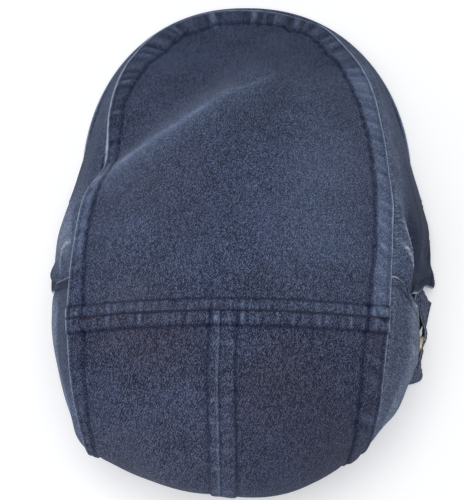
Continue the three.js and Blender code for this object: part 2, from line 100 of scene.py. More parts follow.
# Folds and dents. Columns: from s, from t, to s, to t, width, height.
FOLDS = [
    (6.5, 1.08, 4.4, 0.16, 9.5, 3.4),
    (4.4, 0.16, 3.5, -0.2, 11, 1.6),
    (5.5, 0.95, 3.6, 0.3, 16, -6.0),
    (2.4, 0.6, 2.0, 0.1, 16, -2.0),
    (7.8, -1.7, 9.9, -1.68, 14, -4.4),
    (9.0, -1.4, 9.8, -1.42, 14, -3.4),
    (11.0, -1.42, 12.3, -1.38, 15, 2.6),
    (6.7, -1.02, 8.9, -1.25, 7, 2.6),
    (7.0, -1.22, 8.2, -1.4, 7, -2.6),
    (7.2, 1.25, 9.2, 1.5, 7, -2.4),
    (6.2, 1.4, 8.2, 1.8, 6, 1.6),
    (8.9, 1.44, 9.9, 1.42, 13, 2.6),
    (13.0, -0.5, 14.5, -0.35, 26, 2.4),
    (13.4, 0.62, 14.6, 0.5, 18, -1.4),
    (13.2, 1.15, 14.0, 1.05, 12, 2.0),
]

# The frame's origin lies below the middle of the cap's outline. The lengths here start from the peak's
# middle plane, about half way from front to back, so ORIGIN is added where a mesh is made.
PEAK = SimpleNamespace(half=84.2, length=93.4, centre=-38, roundness=2.2, brow_half=78, brow_depth=47,
                       corner_top=3.1, tip_rise=11.4, brow_rise=19, thickness=3, sweep=85.5)
peak_low, peak_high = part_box("peak")
ORIGIN = np.array([
    500 * (peak_low.x + peak_high.x),
    1000 * peak_low.y - (PEAK.centre - PEAK.length),
    0.0,
])


def ease(v, a, b):
    q = np.clip((np.asarray(v, float) - a) / (b - a), 0, 1)
    return q * q * (3 - 2 * q)


def fade(v, a, b):
    return 1 - ease(v, a, b)


def bell(v, width):
    return np.exp(-(np.asarray(v, float) / width) ** 2)


def unit(v):
    return v / np.linalg.norm(v, axis=-1, keepdims=True)


def column(name, s):
    """A smooth curve through one column of the sections."""
    c = SECTIONS[:, NAMES.index(name)]
    s = np.clip(np.asarray(s, float), 0, LAST)
    i = np.clip(np.floor(s).astype(int), 0, LAST - 1)
    u = s - i
    c = np.concatenate([[2 * c[0] - c[1]], c, [2 * c[-1] - c[-2]]])
    p, a, b, n = c[i], c[i + 1], c[i + 2], c[i + 3]
    square, cube = 2 * p - 5 * a + 4 * b - n, 3 * a - p - 3 * b + n
    return 0.5 * (2 * a + (b - p) * u + square * u ** 2 + cube * u ** 3)


def fold_lift(s, t):
    lift = np.zeros(np.broadcast(s, t).shape)
    for from_s, from_t, to_s, to_t, width, height in FOLDS:
        run_x, run_y = (to_s - from_s) * SECTION_LENGTH, (to_t - from_t) * PANEL_LENGTH
        x, y = (s - from_s) * SECTION_LENGTH, (t - from_t) * PANEL_LENGTH
        share = np.clip((x * run_x + y * run_y) / (run_x ** 2 + run_y ** 2), 0, 1)
        lift += height * np.exp(-((x - share * run_x) ** 2 + (y - share * run_y) ** 2) / width ** 2)
    return lift


def plain(s, t):
    """The crown's surface without its folds."""
    s, t = np.broadcast_arrays(np.asarray(s, float), np.asarray(t, float))
    side = np.where(t < 0, -1.0, 1.0)
    a = np.abs(t)
    seam_x, seam_y, seam_z = (column(n, s) for n in ("seamX", "seamY", "seamZ"))
    b = np.minimum(a, 1)
    top_y = column("midY", s) * (1 - b ** PLAN_ARCH) + seam_y * b ** PLAN_ARCH
    top_z = column("midZ", s) * (1 - b ** CROWN_ARCH) + seam_z * b ** CROWN_ARCH
    rim_x, rim_y, rim_z = column("rimX", s), column("rimY", s), np.maximum(0, column("rimZ", s))
    height = seam_z - rim_z
    down = np.maximum(a - 1, 0)
    w = np.clip(down * height / np.maximum(2, height - WAIST * ease(s, 4, 7)), 0, 1)
    ahead, behind = np.minimum(LAST, s + 0.3), np.maximum(0, s - 0.3)
    dx = column("rimX", ahead) - column("rimX", behind)
    dy = column("rimY", ahead) - column("rimY", behind)
    length = np.hypot(dx, dy)
    out = column("swell", s) * np.sin(np.pi * w)
    x = np.where(a <= 1, seam_x * b, seam_x + (rim_x - seam_x) * w + out * dy / length)
    y = np.where(a <= 1, top_y, seam_y + (rim_y - seam_y) * w - out * dx / length)
    z = np.where(a <= 1, top_z, seam_z + (rim_z - seam_z) * down)
    h = np.clip((z - WAIST) / (SEAM_HEIGHT - WAIST), 0, 1.2)
    x = x * side + column("rimLean", s) * (1 - h) + column("lean", s) * h
    x += BACK_SEAM_SHIFT * ease(s, 5, 9) * np.maximum(0, 1 - a * a) ** 2
    return np.stack([x, y, z], -1)


def normal_of(surface, s, t, step=0.02):
    along = surface(np.minimum(LAST, s + step), t) - surface(np.maximum(0, s - step), t)
    across = surface(s, np.minimum(2, t + step)) - surface(s, np.maximum(-2, t - step))
    n = np.cross(across, along)
    return n / (np.linalg.norm(n, axis=-1, keepdims=True) + 1e-12)


def crown(s, t):
    s, t = np.broadcast_arrays(np.asarray(s, float), np.asarray(t, float))
    free = ease(s, 0, 1.5) * ease(LAST - s, 0.5, 3) * ease(2 - np.abs(t), 0, 0.22)
    return plain(s, t) + normal_of(plain, s, t) * (free * fold_lift(s, t))[..., None]


def arc(points):
    return np.concatenate([[0], np.cumsum(np.linalg.norm(np.diff(points, axis=0), axis=1))])


def resample(points, step):
    """The same line with its points a step apart."""
    u = arc(points)
    at = np.linspace(0, u[-1], max(2, int(round(u[-1] / step)) + 1))
    return np.stack([np.interp(at, u, points[:, k]) for k in range(3)], -1)


def near(points, line, batch=4000):
    """Each point's distance from a line and how far along the line it lies."""
    shape = points.shape[:-1]
    flat = points.reshape(-1, 3)
    u = arc(line)
    distance = np.empty(len(flat))
    along = np.empty(len(flat))
    for k in range(0, len(flat), batch):
        part = flat[k:k + batch]
        squares = (part ** 2).sum(1)[:, None] - 2 * part @ line.T + (line ** 2).sum(1)[None]
        i = squares.argmin(1)
        best = np.full(len(part), 1e9)
        place = np.zeros(len(part))
        for first in (np.clip(i - 1, 0, len(line) - 2), np.clip(i, 0, len(line) - 2)):
            a, b = line[first], line[first + 1]
            d = b - a
            share = np.clip(((part - a) * d).sum(1) / (d * d).sum(1), 0, 1)
            gap = np.linalg.norm(part - a - share[:, None] * d, axis=1)
            closer = gap < best
            best = np.where(closer, gap, best)
            place = np.where(closer, u[first] + share * (u[first + 1] - u[first]), place)
        distance[k:k + batch] = best
        along[k:k + batch] = place
    return distance.reshape(shape), along.reshape(shape)


def waves(u, lengths, seed):
    """An uneven wave along a line, from a few wavelengths."""
    random = np.random.default_rng(seed)
    total = sum(np.sin(2 * np.pi * (u / w + random.random())) for w in lengths)
    return total / len(lengths) ** 0.5


def mottle(points, size, seed, terms=18):
    """Soft uneven values over space, about -1 to 1, whose patches are about this size."""
    random = np.random.default_rng(seed)
    value = np.zeros(points.shape[:-1])
    for _ in range(terms):
        direction = random.normal(size=3)
        direction /= np.linalg.norm(direction)
        rate = 2 * np.pi / (size * random.uniform(1.4, 3.2))
        value += np.sin((points @ direction) * rate + random.uniform(0, 2 * np.pi))
    return value / (terms / 2) ** 0.5 * 0.6


def steps_along(length, step, features):
    """Places from 0 to a length, close together at its features."""
    at = [0.0]
    while at[-1] < length:
        x = at[-1]
        at.append(x + min([step] + [0.3 + 0.22 * abs(x - f) for f in features]))
    at = np.array(at)
    return at * length / at[-1]


# Where the seams between top and sides lie, a little above the bend. Columns: section, place across it.
SEAM_PLACE = {
    "right": np.array([
        (0.45, 0.68), (0.6, 0.76), (0.85, 0.795), (1.15, 0.825), (1.5, 0.855), (1.85, 0.892), (2.3, 0.925),
        (2.9, 0.946), (3.6, 0.95), (4.6, 0.953), (5.4, 0.96), (6.2, 0.968), (8.0, 0.98), (10.0, 0.982),
        (12.5, 0.988), (17.0, 1.0),
    ]),
    "left": np.array([(0.3, 0.88), (0.7, 0.925), (1.2, 0.955), (1.75, 0.988), (2.4, 1.0), (17.0, 1.0)]),
}
# Where the top begins, so that the peak's rim shows in front of it. Columns: place across, section.
TOP_START = np.array([
    (-0.68, 0.45), (-0.5, 0.38), (-0.35, 0.29), (-0.2, 0.2), (0.0, 0.15), (0.3, 0.14), (0.6, 0.2),
    (0.75, 0.25), (0.88, 0.3),
])
CORNER = {"right": TOP_START[0, 1], "left": TOP_START[-1, 1]}


def seam_place(s, side):
    return np.interp(s, *SEAM_PLACE[side].T)


def top_start(t):
    return np.interp(t, *TOP_START.T)


def set_back(s, start, end=CROSS):
    """A row of a panel, moved back so that its first row lies at a section and its last stays where it is."""
    return start + s * (1 - start / end)


def side_start(a, side):
    """The section where the front side panel begins, under the corner of the top."""
    return CORNER[side] * fade(a, 1.0, 1.6)


def top_edge():
    """The seam line along the left side, round the front and back along the right side."""
    left_s = np.linspace(LAST, CORNER["left"], 600)
    front_t = np.linspace(TOP_START[-1, 0], TOP_START[0, 0], 300)
    right_s = np.linspace(CORNER["right"], LAST, 600)
    left = resample(crown(left_s, seam_place(left_s, "left")), LINE_STEP)
    front = resample(crown(top_start(front_t), front_t), LINE_STEP)
    right = resample(crown(right_s, -seam_place(right_s, "right")), LINE_STEP)
    line = resample(np.concatenate([left[:-1], front[:-1], right]), LINE_STEP)
    for _ in range(6):
        line[1:-1] = 0.5 * line[1:-1] + 0.25 * (line[:-2] + line[2:])
    return line


TOP_EDGE = top_edge()
TOP_FRONT_AT = arc(TOP_EDGE)[np.argmin(TOP_EDGE[:, 1])]
CROSS_SEAM = resample(crown(CROSS, np.linspace(-seam_place(CROSS, "right"), 1, 300)), LINE_STEP)
BACK_SEAM = resample(crown(np.linspace(CROSS, LAST, 300), 0), LINE_STEP)

# How far the edge's topstitch lies from the seam. Columns: place along the edge from the middle of the front
# towards the wearer's right, distance.
ALLOWANCE = np.array([
    (-300, 5.0), (-270, 7.0), (-240, 9.0), (-205, 6.4), (-140, 6.0), (-110, 7.6), (-85, 11.0), (-57, 14.6),
    (-30, 14.4), (-5, 12.4), (30, 14.4), (60, 13.0), (100, 12.0), (125, 9.6), (155, 8.4), (205, 8.8),
    (245, 11.0), (300, 11.5),
])
# The other topstitches' distances, from the cross seam, the centre back seam, the lap's fold and the rim
CROSS_STITCH = {"front": 5.3, "rear": 6.4}
BACK_STITCH = {"left": 4.8, "right": 6.8}
LAP_STITCH = 4.6
HEM_STITCH = 11.5
FRONT_END = 9.4  # the section where the front side panels end under the rear ones
LAP_SWEEP = {"right": 0.68, "left": 0.04}  # how many sections the lap's fold runs back on its way down


def rear_edge(a, side):
    """The section where the rear side panel begins, at a place down the side."""
    sweep = LAP_SWEEP[side]
    return LAP - 0.05 + sweep * ease(a, 1.03, 1.4) - (sweep + 0.63) * ease(a, 1.45, 1.56)


def front_end(a, side):
    """The section where the front side panel ends: under the rear one, or below it in its own slanted hem."""
    sweep = LAP_SWEEP[side]
    slant = LAP_FORWARD * np.clip((a - 1.62) / 0.38, 0, 1) ** 1.35
    return FRONT_END + sweep * ease(a, 1.03, 1.38) - (sweep + 0.08) * ease(a, 1.42, 1.52) - slant


def tuck_at(s):
    return TUCK * fade(s, LAP + LAP_BACK, LAP + LAP_BACK + LAP_EASE)


def flare_at(run):
    """How far the strap's lower edge and the hem inside it swing out behind the right lap."""
    return (2.3 + tuck_at(LAP + run)) * ease(run, -0.32, 0.12) * fade(run, 0.8, 1.45)


def hem_flare(s, t):
    return np.where(t < 0, 0.8 * flare_at(s - LAP) * ease(-t, 1.82, 1.98), 0)


def rear_over(a):
    """1 where the rear side panel lies on the front one, 0 where the front one's hem lies outside."""
    return fade(a, LAP_LOW, LAP_LOW + 0.09)


def lap_line(side):
    a = np.linspace(0.98, LAP_LOW, 80)
    return resample(crown(rear_edge(a, side), SIDES[side] * a), LINE_STEP)


LAP_LINE = {side: lap_line(side) for side in SIDES}
PUCKERS = (5.9, 7.7, 12.5)  # the wavelengths of the puckers beside the edge's topstitch
PUCKER_SEED = 3


def allowance(u):
    return np.interp(u - TOP_FRONT_AT, *ALLOWANCE.T)


def edge_pull(u):
    """How far the puckers pull the edge's topstitch out of line."""
    front = 0.3 + 0.7 * bell(u - TOP_FRONT_AT, 95)
    return front * (0.5 * waves(u, PUCKERS, PUCKER_SEED) + 0.5 * waves(u, (19.0, 31.0), 8))


def seam_wear(d, u):
    """The pale worn crest of the edge seam, wider where it turns down over the peak."""
    front = bell(u - TOP_FRONT_AT, 105)
    uneven = 1.3 + 0.25 * waves(u, (7.0, 13.0), 12)
    return uneven * bell(d - 0.25 - 0.4 * front, 0.62 + 0.35 * front)


def edge_relief(d, u):
    """The turned allowance, its topstitch and its puckers beside the edge seam."""
    wide = allowance(u)
    share = d / wide
    strong = 0.55 + 0.45 * bell(u - TOP_FRONT_AT, 130)
    uneven = 0.8 + 0.3 * waves(u, (23.0, 37.0), 14)
    ahead = u - TOP_FRONT_AT
    slant = 0.5 * ease(ahead, 90, 190) - 0.5 * ease(-ahead, 90, 190) - 0.35 * bell(ahead - 60, 35)
    pucker = waves(u + slant * d, PUCKERS, PUCKER_SEED) * uneven
    row = d - wide - edge_pull(u)
    height = 0.95 * fade(row, -1.2, 0.8) - 0.55 * bell(row, 0.75)
    height += 0.6 * strong * pucker * ease(share, 0.05, 0.5) * fade(share, 0.95, 1.4)
    height += 0.16 * strong * waves(u, (9.3, 14.1), 4) * bell(row - 3.3, 3.5)
    height += 0.35 * bell(d - 1.0, 0.7) - 0.3 * bell(d - 2.4, 0.6)
    return height, strong * pucker * bell(share - 0.55, 0.38), row


def felled(d, u, stitch, lengths, seed, rise, groove, ripple):
    """The allowance, topstitch groove and puckers beside a felled seam."""
    pucker = waves(u, lengths, seed)
    height = rise * fade(d, stitch - 0.6, stitch + 1.0) - groove * bell(d - stitch, 0.7)
    height += ripple * pucker * bell(d - 0.5 * stitch, 0.4 * stitch)
    return height, pucker * bell(d - 0.5 * stitch, 0.42 * stitch)


# Wavelengths of the puckers and their seed, the allowance's rise, the groove's depth, the puckers' height
CROSS_FELL = ((2.9, 3.6, 5.3), 7, 0.75, 0.5, 0.2)
BACK_FELL = ((3.3, 4.7, 7.9), 11, 0.6, 0.4, 0.12)


def mesh_object(name, vertices, faces):
    mesh = bpy.data.meshes.new(name)
    mesh.from_pydata((np.asarray(vertices) / 1000).tolist(), [], faces)
    mesh.validate()
    mesh.polygons.foreach_set("use_smooth", np.ones(len(mesh.polygons), bool))
    mesh.update()
    made = bpy.data.objects.new(name, mesh)
    bpy.context.scene.collection.objects.link(made)
    return made


def attribute(made, name, values):
    layer = made.data.attributes.new(name, "FLOAT", "POINT")
    layer.data.foreach_set("value", np.asarray(values, np.float32))


def shell(name, outer, inner, masks, cloth_uv):
    """A closed cloth wall from two grids. Its masks give the finish the wear and painted highlights, and the
    dark lines and painted shade.
    """
    rows, columns = outer.shape[:2]
    count = rows * columns
    vertices = np.concatenate([outer.reshape(-1, 3), inner.reshape(-1, 3)]) + ORIGIN
    index = np.arange(count).reshape(rows, columns)
    a, b, c, d = index[:-1, :-1], index[:-1, 1:], index[1:, 1:], index[1:, :-1]
    faces = [np.stack([a, b, c, d], -1).reshape(-1, 4)]
    faces.append(np.stack([a, d, c, b], -1).reshape(-1, 4) + count)
    loop = np.concatenate([index[0, :-1], index[:-1, -1], index[-1, :0:-1], index[:0:-1, 0]])
    after = np.roll(loop, -1)
    faces.append(np.stack([loop, loop + count, after + count, after], -1))
    faces = np.concatenate(faces)
    made = mesh_object(name, vertices, faces.tolist())
    v = vertices[faces]
    volume = sum(np.einsum("ij,ij->i", v[:, 0], np.cross(v[:, k], v[:, k + 1])).sum() for k in (1, 2))
    if volume < 0:
        made.data.flip_normals()
    for mask, values in masks.items():
        flat = np.asarray(values, float).reshape(-1)
        attribute(made, mask, np.concatenate([flat, np.zeros(count)]))
    uv = made.data.uv_layers.new(name="cloth")
    corner = np.empty(len(made.data.loops), np.int32)
    made.data.loops.foreach_get("vertex_index", corner)
    both = np.concatenate([cloth_uv.reshape(-1, 2)] * 2)
    uv.data.foreach_set("uv", both[corner].astype(np.float32).reshape(-1))
    return made


def turned_in(d, radius):
    """How far a rounded edge turns in, at a distance from it."""
    return radius * (1 - np.sqrt(1 - np.clip(1 - d / radius, 0, 1) ** 2))


def edge_rounding(points, sides, radius=0.85):
    """How far a skin turns in beside the panel's own edges."""
    lines = {"first_row": points[0], "last_row": points[-1], "first": points[:, 0], "last": points[:, -1]}
    return np.max([turned_in(near(points, lines[side])[0], radius) for side in sides], axis=0)


def cloth_panel(name, s, t, relief, rounded, lift=None):
    """One cloth panel over a grid of places on the crown, with the named edges of the grid rounded."""
    base = crown(s, t)
    normal = normal_of(crown, s, t)
    on_rim = (np.abs(t) >= 2 - 1e-6) | (s >= LAST - 1e-6)
    normal[on_rim, 2] = 0
    normal = unit(normal)
    height, masks = relief(s, t, base)
    fine = 0.10 * mottle(base, 9, 21) + 0.22 * mottle(base, 26, 22)
    height = height + fine * ease(2 - np.abs(t), 0, 0.1) * ease(LAST - s, 0, 0.6)
    carried = np.zeros(s.shape) if lift is None else lift(s, t)
    turn = edge_rounding(base, rounded)
    outer = base + normal * (height + carried - turn)[..., None]
    hem = HEM_EXTRA * fade(base[..., 2], HEM_HEIGHT - 1.5, HEM_HEIGHT) * ease(s, 5, 5.6)
    inner = base + normal * (carried - CLOTH - hem + 0.8 * turn)[..., None]
    outer[..., 2] = np.maximum(outer[..., 2], 0.05)
    inner[..., 2] = np.maximum(inner[..., 2], np.where(on_rim, base[..., 2], 0.3))
    middle = s.shape[1] // 2
    across = np.stack([arc(row) for row in base])
    across -= across[:, [middle]]
    along = np.repeat(arc(base[:, middle])[:, None], s.shape[1], axis=1)
    return shell(name, outer, inner, masks, np.stack([across, along], -1) / 100)


def section_rows(s0, s1, t, step, features):
    """Sections from s0 to s1 at even distances along the crown, closer at features given from both ends."""
    s = np.linspace(s0, s1, 400)
    u = arc(crown(s, t))
    marks = [f if f >= 0 else u[-1] + f for f in features]
    return np.interp(steps_along(u[-1], step, marks), u, s)


def half_width(s):
    line = crown(s[:, None], np.linspace(0, 1, 60)[None, :])
    return np.linalg.norm(np.diff(line, axis=1), axis=-1).sum(1)


# Distances in the panels' grids: between columns and rows, and from a seam to the close columns beside it
COLUMN_STEP = 1.6
ROW_STEP = 1.5
TOP_ROW_STEP = 0.9
TOP_MIDDLE = 56
BACK_MIDDLE = 11.0
BESIDE_EDGE = np.concatenate([[0, 0.3, 0.7, 1.2, 1.8], np.arange(2.5, 17.5, 0.75)])


def on_crown(path):
    """A line over the crown through places (s, t)."""
    return resample(crown(*np.array(path).T), 0.8)


# The crest of the large fold: worn, and given a painted highlight
RIDGE_LINE = on_crown([
    (5.95, 0.98), (5.8, 0.86), (5.7, 0.75), (5.48, 0.62), (5.2, 0.45), (4.88, 0.31), (4.56, 0.16),
    (4.2, 0.02), (3.8, -0.17), (3.25, -0.33), (2.8, -0.46),
])


def seams(base, cross_stitch):
    """What the top and the back panels share: the edge seam and the cross seam."""
    d, u = near(base, TOP_EDGE)
    height, pucker, row = edge_relief(d, u)
    cross_d, cross_u = near(base, CROSS_SEAM)
    more, cross_pucker = felled(cross_d, cross_u, cross_stitch, *CROSS_FELL)
    dark = 0.9 * bell(row, 0.8) + 0.9 * bell(cross_d - cross_stitch, 0.75) + bell(cross_d, 0.55)
    dark += 0.45 * bell(d - 1.9, 0.6)
    return d, row, pucker, cross_pucker, height + more, seam_wear(d, u), dark


def top_relief(s, t, base):
    d, row, pucker, cross_pucker, height, wear_and_highlight, dark = seams(base, CROSS_STITCH["front"])
    # The ridge and a broad band round it are painted paler: partly wear, partly a painted highlight on the
    # lit crest.
    ridge_d, ridge_u = near(base, RIDGE_LINE)
    ridge = bell(ridge_d, 2.2 + 2.6 * fade(ridge_u, 0, 70)) * (1 - 0.62 * ease(ridge_u, 50, 105))
    ridge *= (1 + 0.3 * mottle(base, 5, 31) + 0.2 * mottle(base, 13, 32)) * fade(ridge_u, 95, 128)
    broad = bell(ridge_d, 12) * fade(ridge_u, 70, 125)
    wear_and_highlight += 0.30 * np.clip(pucker + 0.15, 0, 2) + 0.26 * np.clip(cross_pucker - 0.1, 0, 2)
    wear_and_highlight += 0.3 * ridge + 0.2 * broad + 0.06 * bell(np.abs(t) - 0.62, 0.3) * ease(s, 4.5, 6.5)
    wear_and_highlight += 0.07 * bell(t + 0.6, 0.35) * ease(s, 2.5, 4) * fade(s, 8.5, 9.5)
    within = ease(d, 0.8, 2.0) * fade(row, -1.8, -0.3) * (1 + 0.3 * mottle(base, 15, 33))
    wear_and_highlight += within * np.where(t < 0, 0.32 * ease(s, 1, 3.5), 0.26 * ease(s, 5.7, 6.4) * fade(s, 8, 9))
    # Pucker hollows are painted darker: partly dye kept in the hollows, partly painted shade.
    dark += 0.36 * np.clip(-pucker, 0, 2) + 0.3 * np.clip(-cross_pucker, 0, 2)
    dark += 0.25 * within * (t > 0) * ease(s, 2.6, 3.4) * fade(s, 4.8, 5.8)
    return height, {"wear_and_highlight": wear_and_highlight, "dark": dark}


def top_lift(s, t):
    """The front edge bends down onto the peak."""
    return -1.3 * fade(s - top_start(t), 0, 0.35) * fade(np.abs(t), 0.8, 0.98)


def back_relief(s, t, base):
    _, _, pucker, cross_pucker, height, wear_and_highlight, dark = seams(base, CROSS_STITCH["rear"])
    d, u = near(base, BACK_SEAM)
    stitch = np.where(t >= 0, BACK_STITCH["left"], BACK_STITCH["right"])
    more, back_pucker = felled(d, u, stitch, *BACK_FELL)
    wear_and_highlight += 0.26 * np.clip(pucker + 0.1, 0, 2) + 0.36 * np.clip(cross_pucker - 0.1, 0, 2)
    wear_and_highlight += 0.2 * np.clip(back_pucker, 0, 2) + 0.3 * bell(d - 0.8, 0.5) * (t > 0)
    dark += 0.8 * bell(d - stitch, 0.75) + 0.8 * bell(d, 0.4)
    # Pucker hollows are painted darker: partly dye kept in the hollows, partly painted shade.
    dark += 0.3 * np.clip(-pucker, 0, 2) + 0.3 * np.clip(-cross_pucker, 0, 2)
    # Painted shade: the back panels are painted darker towards the wearer's right, and more so low on the
    # right.
    dark += 0.34 * ease(-t, -0.15, 0.35) * ease(s, 10.2, 12.6)
    dark += 0.36 * ease(-t, 0.1, 0.6) * ease(s, 12.4, 14.4)
    return height + more, {"wear_and_highlight": wear_and_highlight, "dark": dark}


CREASES = {
    "right": [
        on_crown([(7.6, -1.0), (7.8, -1.07), (8.0, -1.13), (8.35, -1.2), (8.6, -1.25), (8.9, -1.3)]),
        on_crown([(6.75, -1.0), (7.1, -1.06), (7.4, -1.12), (8.0, -1.2), (8.6, -1.3), (8.9, -1.5)]),
        on_crown([(6.9, -1.08), (7.1, -1.13), (7.3, -1.18), (7.6, -1.25), (7.9, -1.33), (8.15, -1.42)]),
    ],
    "left": [
        on_crown([(7.38, 1.02), (7.36, 1.12), (7.34, 1.24), (7.4, 1.36), (7.62, 1.44), (8.05, 1.47),
                  (8.5, 1.46), (9.0, 1.42)]),
    ],
}
# For each side: the creases' wear, how long they take to start and to end, and the painted shade inside the
# lap's hem
CREASE_LOOK = {"right": (1.25, 8, 8, 0.6), "left": (0.7, 20, 12, 0.8)}


def side_of(t):
    """The side that a side panel's places lie on."""
    return "right" if t[0, 0] < 0 else "left"


def side_seam(base):
    """How a side panel rises, wears and darkens below the edge seam."""
    d, u = near(base, TOP_EDGE)
    height = -0.35 * bell(d, 1.4) + 0.12 * waves(u, (11.0, 17.0), 5) * bell(d - 6, 6)
    return height, 0.12 * bell(d - 1.5, 2.5), 0.9 * bell(d, 0.5)


def front_side_relief(s, t, base):
    side, a = side_of(t), np.abs(t)
    crease_wear, crease_start, crease_end, painted_shade = CREASE_LOOK[side]
    height, wear_and_highlight, dark = side_seam(base)
    behind = (front_end(a, side) - s) * LAP_SPACING
    hem = 1 - rear_over(a)
    height += 0.5 * hem * fade(behind, 4.2, 5.8) - 0.4 * hem * bell(behind - LAP_STITCH, 0.7)
    wear_and_highlight += 0.8 * hem * bell(behind, 1.0)
    dark += 0.8 * hem * bell(behind - LAP_STITCH, 0.8)
    up = base[..., 2] - np.maximum(0, column("rimZ", s))
    low = ease(s, 5.2, 6.0)
    height += 0.35 * low * (fade(up, 10.8, 12.4) - bell(up - HEM_STITCH, 0.7))
    dark += 0.7 * low * bell(up - HEM_STITCH, 0.8)
    wear_and_highlight += 0.5 * bell(up, 0.9)
    if side == "right":
        # Painted shade on the lower right front side, which faces away from the light.
        dark += 1.05 * ease(a, 1.12, 1.4) * ease(s, 4.2, 6.2)
        wear_and_highlight += 0.12 * fade(a, 1.1, 1.3) * (1 + 0.5 * mottle(base, 6, 43))
    else:
        # Painted highlight where the left front side faces the light, painted shade on the hem's end under
        # its fold, and darker from section 3 to 6.
        wear_and_highlight += 0.5 * bell(s - 7.0, 0.9) * ease(a, 1.12, 1.4)
        dark += 0.65 * ease(s, 7.9, 8.2) * ease(a, 1.5, 1.62)
        dark += 0.34 * ease(s, 3.0, 3.8) * fade(s, 5.5, 6.4)
    dark += painted_shade * hem * fade(behind, LAP_STITCH, LAP_STITCH + 1.5) * ease(behind, 1.0, 2.0)
    lip = hem * bell(behind - 0.3, 0.8)
    wear_and_highlight += 0.5 * lip
    dark *= 1 - 0.85 * lip
    for crease in CREASES[side]:
        d, u = near(base, crease)
        shown = ease(u, 0, crease_start) * ease(arc(crease)[-1] - u, 0, crease_end)
        height += 0.6 * shown * bell(d, 1.3)
        wear_and_highlight += crease_wear * shown * bell(d, 0.9)
        dark *= 1 - 0.8 * shown * bell(d, 1.1)
    return height * ease(2 - a, 0, 0.02), {"wear_and_highlight": wear_and_highlight, "dark": dark}


def rear_side_relief(s, t, base):
    side, a = side_of(t), np.abs(t)
    height, wear_and_highlight, dark = side_seam(base)
    d, u = near(base, LAP_LINE[side])
    lap = rear_over(a) * (s >= rear_edge(a, side) - 0.2)
    height += 0.5 * lap * fade(d, 4.0, 5.6) - 0.45 * lap * bell(d - LAP_STITCH, 0.7)
    height += 0.12 * lap * waves(u, (4.1, 5.7), 9) * bell(d - 2.4, 2.0)
    wear_and_highlight += 1.25 * lap * bell(d - 0.2, 0.85)
    dark += 0.8 * lap * bell(d - LAP_STITCH, 0.8)
    patchy = 1 + 0.25 * mottle(base, 3, 41) + 0.12 * mottle(base, 11, 42)
    bulge = 1.27 - 0.12 * ease(s, 11, 12.6)
    # Painted sheen: the bulge of each rear side panel is painted paler where it turns away; the small even
    # share is washed wear.
    painted_sheen = ease(a, bulge - 0.06, bulge + 0.02) * fade(a, 1.34, 1.5) * ease(s, 9.2, 9.7)
    painted_sheen *= 1 - 0.6 * ease(s, 12.6, 14.0)
    wear_and_highlight += (0.36 * painted_sheen + 0.08) * patchy
    if side == "left":
        # On the left, painted shadow below the lap's fold, and painted shade over the panel's front part away
        # from the bulge.
        dark += 1.3 * lap * bell(d - 2.4, 1.9) * ease(d, 0.7, 1.5) * fade(a, 1.16, 1.32)
        dark += 0.7 * (1 - painted_sheen) * fade(s, 11.0, 12.2)
    return height * ease(2 - a, 0, 0.02), {"wear_and_highlight": wear_and_highlight, "dark": dark}


def cover_lift(s, t):
    """The front side panel's hem stands out over the strap's ends."""
    return 3.4 * ease(s, np.where(t < 0, 7.5, 7.85), 8.4) * ease(np.abs(t), 1.45, 1.72)


def front_lift(s, t):
    """The front side panel tucks in at the front corner and under the rear side panel."""
    a = np.abs(t)
    edge = rear_edge(a, side_of(t))
    tucked = 1.6 * fade(s, 0.1, 0.9) * (0.25 + 0.75 * ease(a, 1.02, 1.25))
    return cover_lift(s, t) - tucked - 2.1 * rear_over(a) * ease(s, edge - 0.16, edge + 0.02)


def rear_lift(s, t):
    """The rear side panel's own rise. On the wearer's right it sags out over the strap's ends."""
    a = np.abs(t)
    sag = ease(a, 1.08, 1.42) * fade(a, 1.66, 1.76) * ease(s, 8.9, 9.7) * (1 - 0.75 * ease(s, 10.2, 11.3))
    sag *= fade(s, 10.9, 11.9) * (t < 0)
    flat = ease(a, 1.05, 1.25) * fade(a, 1.66, 1.8) * fade(s, 12.8, 14.0)
    flat *= np.where(t < 0, 0.8 * ease(s, 11.0, 11.8), 1.1 * ease(s, 9.4, 10.0))
    return hem_flare(s, t) - tuck_at(s) * (1 - rear_over(a)) + 2.9 * sag - flat


def top_grid():
    """Places on the top panel, from the right seam to the left, with even distances beside both seams."""
    s = section_rows(0, CROSS, 0.5, TOP_ROW_STEP, (0, -CROSS_STITCH["front"], -0.01))
    width = half_width(s)
    middle = np.linspace(0, 1, int(TOP_MIDDLE / COLUMN_STEP) + 1)[None, 1:]
    halves = []
    for side in SIDES:
        beside_seam = seam_place(set_back(s, CORNER[side]), side)[:, None] - np.outer(1 / width, BESIDE_EDGE)
        halves.append(np.concatenate([beside_seam, beside_seam[:, -1:] * (1 - middle)], axis=1))
    t = np.concatenate([-halves[0], halves[1][:, -2::-1]], axis=1)
    return set_back(s[:, None], top_start(t)), t


def back_grid(side):
    """Places on a back panel, with even distances beside the centre seam and the edge seam."""
    s = section_rows(CROSS, LAST, 0.5, ROW_STEP, (0, CROSS_STITCH["rear"]))
    width = half_width(s)
    beside_middle = np.outer(1 / width, steps_along(BACK_MIDDLE, COLUMN_STEP, (0, *BACK_STITCH.values())))
    beside_edge = seam_place(s, side)[:, None] - np.outer(1 / width, BESIDE_EDGE[::-1])
    share = np.linspace(0, 1, 32)[None, 1:-1]
    between = beside_middle[:, -1:] * (1 - share) + beside_edge[:, :1] * share
    half = np.concatenate([beside_middle, between, beside_edge], axis=1)
    t = -half[:, ::-1] if side == "right" else half
    return np.repeat(s[:, None], t.shape[1], axis=1), t


def side_columns(side):
    """Places down a side from the seam to the rim, in the order that runs to the wearer's left."""
    t = 1 + steps_along(PANEL_LENGTH, ROW_STEP, (0, PANEL_LENGTH)) / PANEL_LENGTH
    return -t[::-1] if side == "right" else t


